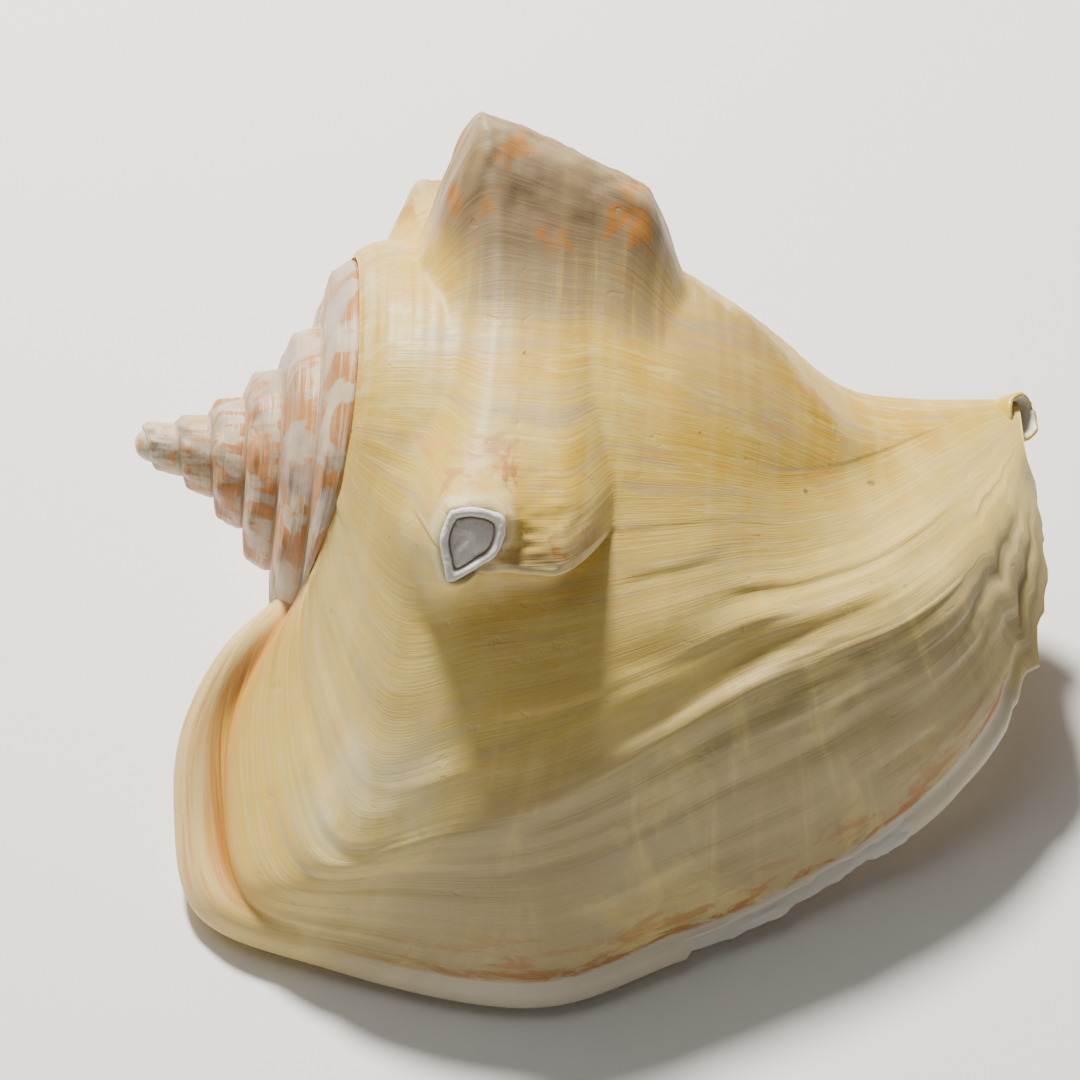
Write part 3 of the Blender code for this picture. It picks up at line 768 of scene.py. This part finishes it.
def make_pillar():
    """The pillar that the coil winds round, which follows the canal's bend to its end."""
    rows, columns = PILLAR_GRID
    along = np.linspace(PILLAR[0][0], PILLAR[-1][0], rows)[:, None]
    turn = np.linspace(0, 360, columns, endpoint=False)[None]
    along, turn = np.broadcast_arrays(along, turn)
    radius = curve(along, PILLAR)[..., 0]
    radius = radius * (1 + PILLAR_FOLD * np.cos(np.radians(turn + PILLAR_TWIST * along)))
    return stack_rings("shell_pillar", place(along, radius, turn), {})


def make_break():
    """The broken tip of the front knob: a thin worn ring around a chalky plug."""
    out = outward(TIP_ROUND)
    side = outward(TIP_ROUND + 90)
    centre = AXIS_POINT + TIP_ALONG * ALONG
    outline = np.array(TIP_OUTLINE + TIP_OUTLINE[:1], float)
    at = np.linspace(0, len(TIP_OUTLINE), BREAK_AROUND, endpoint=False)
    loop = spline(at, np.arange(len(outline)), outline)
    rings = []
    for scale, rise in BREAK_PROFILE:
        x, y = (loop * scale).T
        rough = 0.12 * noise(x / 0.8, y / 0.8, 52) + 0.3 * noise(x / 3, y / 3, 53)
        height = TIP_AT + rise + rough
        rings.append(centre + x[:, None] * ALONG + y[:, None] * side + height[:, None] * out)
    ring = np.repeat(column(BREAK_PROFILE, 0), BREAK_AROUND)
    return stack_rings("shell_break", rings, {"ring": np.append(ring, [0, 0])})


def make_canal_tip():
    """The broken, curled end of the canal, a short hollow tube."""
    turn = np.linspace(0, 360, TUBE_AROUND, endpoint=False)
    cosine, sine = np.cos(np.radians(turn)), np.sin(np.radians(turn))
    ragged = 0.9 * noise(cosine * 1.6, sine * 1.6, 61) + 0.35 * noise(cosine * 1.6 * 3, turn / 24, 62)
    start, end = np.array(TUBE_START), np.array(TUBE_END)
    heading = unit(end - start)
    high = unit(np.array(TUBE_HIGH) - heading * (np.array(TUBE_HIGH) @ heading))
    wide = np.cross(heading, high)
    rings = []
    for step, scale, _ in TUBE_PROFILE:
        points = start + (end - start) * step
        points = points + (cosine * (TUBE_HALF_HIGH * scale))[:, None] * high
        points = points + (sine * (TUBE_HALF_WIDE * scale))[:, None] * wide
        rings.append(points + (ragged * ease(step, 0.6, 1.0))[:, None] * heading)
    hollow = np.repeat(column(TUBE_PROFILE, 2), TUBE_AROUND)
    return stack_rings("shell_canal_tip", rings, {"hollow": np.append(hollow, [0, 1])})


def apex_dome(first):
    """The worn round tip of the spire: points, and faces that count from first."""
    around, rings = APEX_GRID
    centre = AXIS_POINT + (APEX_AT + APEX_ROUND) * ALONG
    polar = np.linspace(0, np.pi, rings + 1)[1:-1, None]
    turn = np.arange(around)[None] * 360 / around
    away = outward(turn) * np.sin(polar)[..., None] - ALONG * np.cos(polar)[..., None]
    radius = APEX_ROUND * (1 + 0.03 * noise(turn / 40, polar * 3, 41))
    grid = centre + away * radius[..., None]
    ends = [centre - APEX_ROUND * ALONG, centre + APEX_ROUND * ALONG]
    points = np.concatenate([grid.reshape(-1, 3), ends])
    # These rings wind the other way round, so each face is turned over.
    faces = [[first + i for i in (face[0], *face[:0:-1])] for face in ring_faces(rings - 1, around)]
    return points, faces


def make_spire():
    """The spire, from the apex down to the last whorl, which overlaps its last rows."""
    last = SEAM[-1][0] - 360
    rows, columns = int(SPIRE_ROWS * SPIRE_WHORLS) + 1, SPIRE_COLUMNS
    growth = (last - np.arange(rows)[::-1] * 360 / SPIRE_ROWS)[:, None]
    across = np.linspace(0, 1, columns)[None]
    growth, across = np.broadcast_arrays(growth, across)
    along, radius = seam(growth)
    next_along, next_radius = seam(growth + 360)
    step = spline(across, np.linspace(0, 1, len(STEP)), STEP)
    window = np.sin(np.pi * across) * bell(across, NODE_AT, NODE_HALF)
    nodes = NODE * window * np.cos(np.radians(growth) * NODES_A_TURN + 0.8 * noise(growth / 40, 0, 31))
    gap = next_radius - radius
    fine = 0.10 * np.sin(across * 2 * np.pi * SPIRE_CORDS) + 0.16 * noise(growth / 2.2, across * 1.5, 32)
    fine += 0.25 * noise(growth / 9, across * 3, 33)
    fine = fine * np.sin(np.pi * across) ** 0.5 * np.clip(gap / 14, 0.3, 1)
    slim = 1 - APEX_SLIM * ease(-growth - 360 * across, *APEX_SLIM_OVER)
    groove = bell(across, 1, 0.05) * np.clip(next_radius / 20, 0, 1)
    groove += bell(across, 0, 0.03) * np.clip(radius / 20, 0, 1)
    outline = (radius + gap * (step[..., 1] + nodes)) * slim + fine - SPIRE_GROOVE * groove
    points = place(along + (next_along - along) * step[..., 0], outline, growth)
    apex = AXIS_POINT + (APEX_AT + APEX_ROUND) * ALONG
    base = AXIS_POINT + SPIRE_FOOT * ALONG
    flat = np.concatenate([points.reshape(-1, 3), [apex, base]])
    faces = grid_faces(rows, columns)
    tip = rows * columns
    for i in range(SPIRE_ROWS):
        faces.append([tip, (i + 1) * columns, i * columns])
    for i in range(rows - SPIRE_ROWS - 1, rows - 1):
        faces.append([tip + 1, i * columns + columns - 1, (i + 1) * columns + columns - 1])
    for k in range(columns - 1):
        faces.append([tip, k, k + 1])
        faces.append([tip + 1, (rows - 1) * columns + k + 1, (rows - 1) * columns + k])
    dome, dome_faces = apex_dome(len(flat))
    flat = np.concatenate([flat, dome])
    faces += dome_faces
    ends = np.zeros(2 + len(dome))
    attributes = {
        "turn": np.append(growth, ends),
        "across": np.append(across, ends + 0.5),
        "size": np.append(radius, ends + 3),
    }
    spire = new_mesh("shell_spire", flat, faces, attributes)
    weld = spire.modifiers.new("weld whorls", "WELD")
    weld.merge_threshold = WELD * MM
    return spire


class Paint:
    """A material whose nodes are added one call at a time."""

    def __init__(self, name, colour):
        self.colour = colour
        self.material = bpy.data.materials.new(name)
        self.material.use_nodes = True
        self.tree = self.material.node_tree
        self.surface = self.tree.nodes["Principled BSDF"]
        self.known = {}

    def add(self, kind, inputs, **settings):
        node = self.tree.nodes.new(kind)
        for key, value in settings.items():
            setattr(node, key, value)
        for key, value in inputs.items():
            self.put(node.inputs[key], value)
        return node

    def put(self, socket, value):
        if isinstance(value, bpy.types.NodeSocket):
            self.tree.links.new(value, socket)
        else:
            socket.default_value = value

    def read(self, *names):
        """The values that the mesh holds under these names, each read by one node."""
        for name in names:
            if name not in self.known:
                node = self.add("ShaderNodeAttribute", {}, attribute_name=name)
                self.known[name] = node.outputs["Fac"]
        return [self.known[name] for name in names]

    def place(self):
        return self.add("ShaderNodeTexCoord", {}).outputs["Object"]

    def math(self, operation, a, b):
        return self.add("ShaderNodeMath", {0: a, 1: b}, operation=operation).outputs[0]

    def noise(self, vector, scale, detail, roughness, warp=0.0):
        inputs = {"Vector": vector, "Scale": scale, "Detail": detail, "Roughness": roughness}
        return self.add("ShaderNodeTexNoise", {**inputs, "Distortion": warp}).outputs["Fac"]

    def streaks(self, x, x_scale, y, y_scale, detail, roughness, warp=0.0, pattern=0.0):
        """Noise that two measures of the surface stretch, each by its own scale."""
        inputs = {0: self.times(x, x_scale), 1: self.times(y, y_scale), 2: pattern}
        vector = self.add("ShaderNodeCombineXYZ", inputs).outputs[0]
        return self.noise(vector, 1.0, detail, roughness, warp)

    def ramp(self, value, low, high, to=1.0):
        inputs = {0: value, 1: low, 2: high, 3: 0.0, 4: to}
        return self.add("ShaderNodeMapRange", inputs, interpolation_type="SMOOTHSTEP").outputs[0]

    def rest(self, value):
        """What is left of 1 without the value."""
        return self.math("SUBTRACT", 1.0, value)

    def window(self, value, start, full, fade, end):
        """1 between full and fade, and 0 before start and after end."""
        return self.times(self.ramp(value, start, full), self.rest(self.ramp(value, fade, end)))

    def times(self, *factors):
        result = factors[0]
        for factor in factors[1:]:
            result = self.math("MULTIPLY", result, factor)
        return result

    def cover(self, tint, *masks):
        """Lay a tint over the colour so far, as strong as all the masks multiplied."""
        # Sockets 6 and 7 of the node are the two colours that it mixes.
        inputs = {0: self.times(*masks), 6: self.colour, 7: tint}
        self.colour = self.add("ShaderNodeMix", inputs, data_type="RGBA").outputs[2]

    def bump(self, height, distance, strength):
        """A bump that stands distance high, in metres, where height is 1."""
        inputs = {"Height": height, "Distance": distance, "Strength": strength}
        return self.add("ShaderNodeBump", inputs).outputs[0]

    def finish(self, roughness, normal=None):
        self.put(self.surface.inputs["Base Color"], self.colour)
        self.put(self.surface.inputs["Roughness"], roughness)
        if normal:
            self.put(self.surface.inputs["Normal"], normal)
        return self.material


# Colours, in linear light.
STRAW = (0.68, 0.42, 0.03, 1)
CREAM = (0.72, 0.49, 0.06, 1)
PALE = (0.79, 0.60, 0.16, 1)
OCHRE = (0.60, 0.30, 0.02, 1)
TAN = (0.33, 0.23, 0.13, 1)
# Brown for real stains, and along the spire's seams for painted shade.
STAIN_AND_SHADE = (0.45, 0.17, 0.03, 1)
KNOB_STAIN = (0.52, 0.21, 0.03, 1)
ORANGE = (0.80, 0.35, 0.04, 1)
BAND_CREAM = (0.93, 0.68, 0.28, 1)
BEAD = (0.76, 0.69, 0.55, 1)
# Painted shade for the lip's steep skirt, which also has a greyer tone.
SKIRT_SHADE = (0.38, 0.31, 0.18, 1)
# Painted highlight for the convex corner of the lip.
CORNER_HIGHLIGHT = (0.93, 0.80, 0.46, 1)
BARE = (0.86, 0.72, 0.38, 1)
# Painted shade for the front of the highest knob and the hollow beside it.
KNOB_FACE_SHADE = (0.31, 0.22, 0.10, 1)
# A brown tint that also paints the shade under the front knob.
UNDERSIDE_SHADE = (0.40, 0.23, 0.09, 1)
SPECK = (0.12, 0.09, 0.06, 1)
WORN_PALE = (0.85, 0.67, 0.23, 1)
# Painted light: a paler straw that lights up the lip.
LIT_LIP_STRAW = (0.92, 0.74, 0.27, 1)
CHALK = (0.74, 0.72, 0.64, 1)
WORN = (0.97, 0.95, 0.88, 1)
PLUG = (0.90, 0.86, 0.74, 1)
FLESH = (0.92, 0.74, 0.60, 1)
MAUVE = (0.46, 0.34, 0.22, 1)
DEEP_YELLOW = (0.86, 0.54, 0.06, 1)
SPIRE_BASE = (0.50, 0.39, 0.29, 1)
SPIRE_PALE = (0.68, 0.55, 0.36, 1)
SPIRE_BLOTCH = (0.55, 0.24, 0.07, 1)
SPIRE_TIP = (0.74, 0.64, 0.46, 1)
FLOOR = (0.95, 0.95, 0.94, 1)

# Smears, tints and flecks of the whorl: how dense their noise is along the growth and across it, its
# detail, roughness, warp and pattern, where they set in, how strong they get, and their colour.
SMEARS = [
    (0.16, 0.035, 5, 0.65, 0.9, 7, 0.50, 0.66, 0.62, MAUVE),
    (0.24, 0.05, 5, 0.65, 0.9, 9, 0.52, 0.66, 0.55, WORN_PALE),
    (0.10, 0.05, 4, 0.6, 0.5, 3, 0.56, 0.72, 0.65, ORANGE),
    (0.42, 0.15, 4, 0.7, 0.8, 11, 0.64, 0.74, 0.7, STAIN_AND_SHADE),
]
# Places on the body by their distance across the coil: where they start, are full, fade and end.
WING_ENDS = (27, 46)
CORNER_HIGHLIGHT_ACROSS = (24, 32, 39, 52)
FRONT_RIM = (45, 70, 157, 165)
KNOB_FACE_SHADE_ACROSS = (36, 48, 82, 94)
HOLLOW_SHADE_ACROSS = (84, 94, 112, 132)
# The same by the distance along the growth, from the top of the last whorl.
CORNER_HIGHLIGHT_GROW = (98, 114, 134, 158)
KNOB_FACE_SHADE_GROW = (-36, -26, -2, 10)
HOLLOW_SHADE_GROW = (-44, -24, 6, 34)
UNDER_KNOB_SHADE_GROW = (49, 55, 70, 100)
# The same by the distance from the rim: the deep yellow valley behind the band, its orange middle and
# its stained bottom, and along the front the brown smear and the line behind the bead.
VALLEY = (11, 15, 26, 64)
VALLEY_MIDDLE = (11, 14, 16.5, 27)
VALLEY_BOTTOM = (11.5, 13.5, 15, 19.5)
BEAD_SMEAR = (9, 10.5, 12, 30)
BEAD_LINE = (8.8, 10.2, 11, 12.6)


def whorl_colour(p, lines, fine, clouds, blots):
    """Straw and cream along the growth lines, with bands, smears and dark specks."""
    grow, across, knob = p.read("grow", "across", "knob")
    p.cover(CREAM, p.ramp(clouds, 0.38, 0.62))
    p.cover(PALE, p.ramp(lines, 0.46, 0.66, 0.45))
    p.cover(OCHRE, p.ramp(fine, 0.48, 0.70, 0.24))
    p.cover(PALE, p.ramp(blots, 0.56, 0.68, 0.7), p.ramp(lines, 0.40, 0.55))
    bands = p.streaks(across, 0.16, grow, 0.008, 2, 0.5, 0.3)
    strength = p.math("ADD", p.ramp(knob, 2, 14, 0.4), 0.24)
    p.cover(WORN_PALE, p.ramp(bands, 0.46, 0.62), strength)
    for grow_scale, across_scale, *look, low, high, most, tint in SMEARS:
        p.cover(tint, p.ramp(p.streaks(grow, grow_scale, across, across_scale, *look), low, high, most))
    p.cover(SPECK, p.ramp(p.noise(p.place(), 210, 1, 0.4), 0.775, 0.80), 0.7)


def lip_colour(p, patch):
    """The lip is painted paler than the whorl as painted light, and its steep skirt greyer and darker as
    painted shade, with pale streaks and patches.
    """
    grow, across = p.read("grow", "across")
    # Painted light: the lip is made paler to stand in for light on it.
    p.cover(LIT_LIP_STRAW, p.ramp(grow, 25, 90, 0.45))
    # Painted shade: the steep skirt is made greyer and darker.
    p.cover(SKIRT_SHADE, p.ramp(grow, 105, 150), p.ramp(across, 36, 60), 0.75)
    streak = p.streaks(across, 0.13, grow, 0.014, 4, 0.6, 1, 5)
    p.cover(WORN_PALE, p.ramp(grow, 40, 110), p.ramp(streak, 0.48, 0.70), 0.40)
    p.cover(WORN_PALE, p.ramp(grow, 20, 90), p.ramp(patch, 0.54, 0.68), 0.45)


def wing_colour(p, lines, patch):
    """The wing's rolled band, cream and orange, the valley behind it, deep yellow to brown, and a painted
    highlight on the lip's corner.
    """
    grow, across, rim = p.read("grow", "across", "rim")
    wing = p.rest(p.ramp(across, *WING_ENDS))
    p.cover(DEEP_YELLOW, wing, p.window(rim, *VALLEY), p.ramp(lines, 0.62, 0.38, 0.85))
    p.cover(ORANGE, wing, p.window(rim, *VALLEY_MIDDLE), p.ramp(lines, 0.30, 0.52, 0.95))
    p.cover(STAIN_AND_SHADE, wing, p.window(rim, *VALLEY_BOTTOM), p.ramp(lines, 0.36, 0.56, 0.85))
    band = p.times(p.rest(p.ramp(rim, 11, 16)), wing)
    p.cover(BAND_CREAM, band, 0.8)
    streak = p.streaks(rim, 0.42, across, 0.05, 4, 0.65, 0.4)
    p.cover(ORANGE, band, p.ramp(streak, 0.46, 0.62, 0.75))
    # Painted highlight: a pale patch on the convex corner of the lip.
    corner = p.times(p.window(across, *CORNER_HIGHLIGHT_ACROSS), p.window(grow, *CORNER_HIGHLIGHT_GROW))
    p.cover(CORNER_HIGHLIGHT, corner, p.ramp(patch, 0.30, 0.55, 0.85))


def front_colour(p):
    """Along the front the rim is a pale bead with a broken brown line behind it."""
    across, rim = p.read("across", "rim")
    front = p.window(across, *FRONT_RIM)
    p.cover(BEAD, front, p.rest(p.ramp(rim, 9, 10.5)), 0.85)
    dashes = p.streaks(rim, 0.22, across, 0.09, 5, 0.7, 0.6)
    p.cover(STAIN_AND_SHADE, front, p.window(rim, *BEAD_SMEAR), p.ramp(dashes, 0.47, 0.60), 0.65)
    p.cover(STAIN_AND_SHADE, front, p.window(rim, *BEAD_LINE), p.ramp(dashes, 0.45, 0.55, 0.8))


def knob_colour(p, clouds, blots):
    """Greyer, stained knobs with bare bulging edges; painted shade on the highest one's front and the
    hollow beside it, and under the front knob.
    """
    grow, across, knob, edge = p.read("grow", "across", "knob", "edge")
    upright = p.streaks(across, 0.30, grow, 0.02, 3, 0.6, 0.3, 13)
    front = p.times(p.window(across, *KNOB_FACE_SHADE_ACROSS), p.window(grow, *KNOB_FACE_SHADE_GROW))
    # Painted shade on the front of the highest knob, broken by upright streaks, then weaker in the hollow
    # beside it.
    p.cover(KNOB_FACE_SHADE, front, p.ramp(upright, 0.20, 0.52, 0.9))
    p.cover(KNOB_FACE_SHADE, p.times(p.window(across, *HOLLOW_SHADE_ACROSS), p.window(grow, *HOLLOW_SHADE_GROW)), 0.5)
    # The grey is strongest on the highest knob, and weaker behind it and on the front knob.
    grey = p.times(knob, p.rest(p.ramp(grow, 0, 26, 0.72)))
    grey = p.times(grey, p.math("ADD", p.ramp(grow, -62, -42, 0.6), 0.4))
    patchy = p.math("ADD", grey, p.times(p.math("SUBTRACT", clouds, 0.5), 18))
    p.cover(TAN, p.ramp(patchy, 3, 14, 0.88))
    # A brown tint under the front knob that also paints its shade.
    p.cover(UNDERSIDE_SHADE, p.ramp(knob, 2, 9), p.window(grow, *UNDER_KNOB_SHADE_GROW), 0.6)
    stain = p.noise(p.place(), 70, 6, 0.65, 0.6)
    p.cover(KNOB_STAIN, p.ramp(knob, 5, 16), p.ramp(stain, 0.52, 0.60, 0.85))
    bare = p.times(p.ramp(edge, 0.05, 0.14), p.ramp(blots, 0.36, 0.58), 0.7)
    p.cover(BARE, bare, p.rest(p.ramp(grey, 4, 18, 0.8)))


def body_material():
    p = Paint("shell_wall", STRAW)
    grow, across, broken, inside = p.read("grow", "across", "broken", "inside")
    place = p.place()
    # Growth lines run across the coil, so their noise is stretched in that direction.
    lines = p.streaks(grow, 0.5, across, 0.022, 4, 0.6, 0.2)
    fine = p.streaks(grow, 1.3, across, 0.05, 3, 0.6, 0.5)
    clouds = p.noise(place, 17, 4, 0.55)
    blots = p.noise(place, 46, 5, 0.6)
    patch = p.noise(place, 33, 5, 0.6, 0.4)
    whorl_colour(p, lines, fine, clouds, blots)
    lip_colour(p, patch)
    wing_colour(p, lines, patch)
    front_colour(p)
    knob_colour(p, clouds, blots)
    p.cover(CHALK, broken)
    p.cover(FLESH, p.ramp(inside, 0.3, 0.9))
    rough = p.math("ADD", p.ramp(blots, 0.3, 0.7, 0.18), 0.42)
    rough = p.math("ADD", rough, p.times(broken, 0.3))
    rough = p.math("SUBTRACT", rough, p.times(inside, 0.2))
    grain = p.noise(place, 420, 4, 0.6)
    pits = p.ramp(p.noise(place, 150, 3, 0.5), 0.66, 0.74)
    height = p.math("ADD", p.times(fine, 0.8), p.times(grain, 0.35))
    height = p.math("SUBTRACT", height, p.times(pits, 0.6))
    height = p.times(height, p.rest(p.times(inside, 0.9)))
    return p.finish(rough, p.bump(height, 0.0006, 0.3))


def spire_material():
    p = Paint("shell_spire", SPIRE_BASE)
    turn, across, size = p.read("turn", "across", "size")
    place = p.place()
    along = p.times(turn, 0.0175)
    patches = p.streaks(along, 3.4, across, 1.1, 3, 0.55, 0.4, p.times(turn, 0.0028))
    lines = p.streaks(along, 1.5, across, 14, 3, 0.6)
    clouds = p.noise(place, 60, 4, 0.6)
    p.cover(SPIRE_PALE, p.ramp(clouds, 0.4, 0.6))
    p.cover(SPIRE_BLOTCH, p.ramp(patches, 0.48, 0.56), p.ramp(lines, 0.30, 0.50))
    p.cover(SPIRE_PALE, p.ramp(lines, 0.58, 0.74, 0.45))
    # Painted shade: a darker band on both sides of each seam between whorls.
    p.cover(STAIN_AND_SHADE, p.math("ADD", p.rest(p.ramp(across, 0, 0.10)), p.ramp(across, 0.93, 1)), 0.45)
    apex = p.rest(p.ramp(size, 4, 9))
    p.cover(SPIRE_TIP, apex, 0.8)
    p.cover(ORANGE, apex, p.ramp(p.noise(place, 300, 3, 0.5), 0.56, 0.62), 0.7)
    rough = p.math("ADD", p.ramp(clouds, 0.3, 0.7, 0.2), 0.36)
    height = p.math("ADD", lines, p.times(p.noise(place, 420, 4, 0.6), 0.4))
    return p.finish(rough, p.bump(height, 0.0006, 0.7))


def pillar_material():
    p = Paint("shell_pillar", FLESH)
    clouds = p.noise(p.place(), 45, 4, 0.55)
    p.cover(PALE, p.ramp(clouds, 0.35, 0.65))
    return p.finish(p.ramp(clouds, 0.2, 0.8, 0.45))


def break_material():
    p = Paint("shell_break", PLUG)
    [ring] = p.read("ring")
    grain = p.noise(p.place(), 1100, 4, 0.65)
    p.cover(CHALK, p.ramp(grain, 0.35, 0.65))
    p.cover(WORN, p.ramp(ring, 0.74, 0.78))
    # Painted shade: a dark band in the groove between the worn ring and the plug.
    p.cover(SPIRE_BASE, p.window(ring, 0.66, 0.69, 0.72, 0.74))
    return p.finish(p.ramp(grain, 0.3, 0.7, 0.85), p.bump(grain, 0.0004, 0.6))


def canal_tip_material():
    p = Paint("shell_canal_tip", CREAM)
    [hollow] = p.read("hollow")
    clouds = p.noise(p.place(), 120, 4, 0.6)
    p.cover(PALE, p.ramp(clouds, 0.4, 0.6))
    p.cover(CHALK, p.ramp(hollow, 0.2, 0.8))
    return p.finish(p.ramp(clouds, 0.3, 0.7, 0.7))


def make_stage():
    mesh = bpy.data.meshes.new("floor")
    half = FLOOR_HALF * MM
    corners = [(-half, -half, 0), (half, -half, 0), (half, half, 0), (-half, half, 0)]
    mesh.from_pydata(corners, [], [(0, 1, 2, 3)])
    mesh.materials.append(Paint("floor", FLOOR).finish(0.7))
    new_object("floor", mesh)


def area_light(name, direction, distance, size, power, colour):
    data = bpy.data.lights.new(name, "AREA")
    data.shape = "DISK"
    data.size = size
    data.energy = power
    data.color = colour
    light = new_object(name, data)
    away = Vector(direction).normalized()
    light.location = away * distance + Vector(LIGHTS_AIM) * MM
    light.rotation_euler = away.to_track_quat("Z", "Y").to_euler()


def make_lights():
    for light in LIGHTS:
        area_light(*light)
    world = bpy.data.worlds.new("studio")
    world.use_nodes = True
    background = world.node_tree.nodes["Background"]
    background.inputs["Color"].default_value = ROOM
    background.inputs["Strength"].default_value = ROOM_STRENGTH
    bpy.context.scene.world = world


def make_camera():
    data = bpy.data.cameras.new("camera")
    data.sensor_width = SENSOR
    data.lens = FOCAL_PIXELS / PHOTO_SIZE * SENSOR
    camera = new_object("camera", data)
    camera.location = (np.array(LOOK_AT) - BOX_CENTRE + np.array(CAMERA_AWAY)) * MM
    camera.rotation_euler = (radians(CAMERA_TILT), 0, 0)
    bpy.context.scene.camera = camera


inner = pillar_material()
for piece, material in (
    (make_body(), body_material()),
    (make_spire(), spire_material()),
    (make_core(), inner),
    (make_pillar(), inner),
    (make_break(), break_material()),
    (make_canal_tip(), canal_tip_material()),
):
    piece.data.materials.append(material)
make_stage()
make_lights()
make_camera()
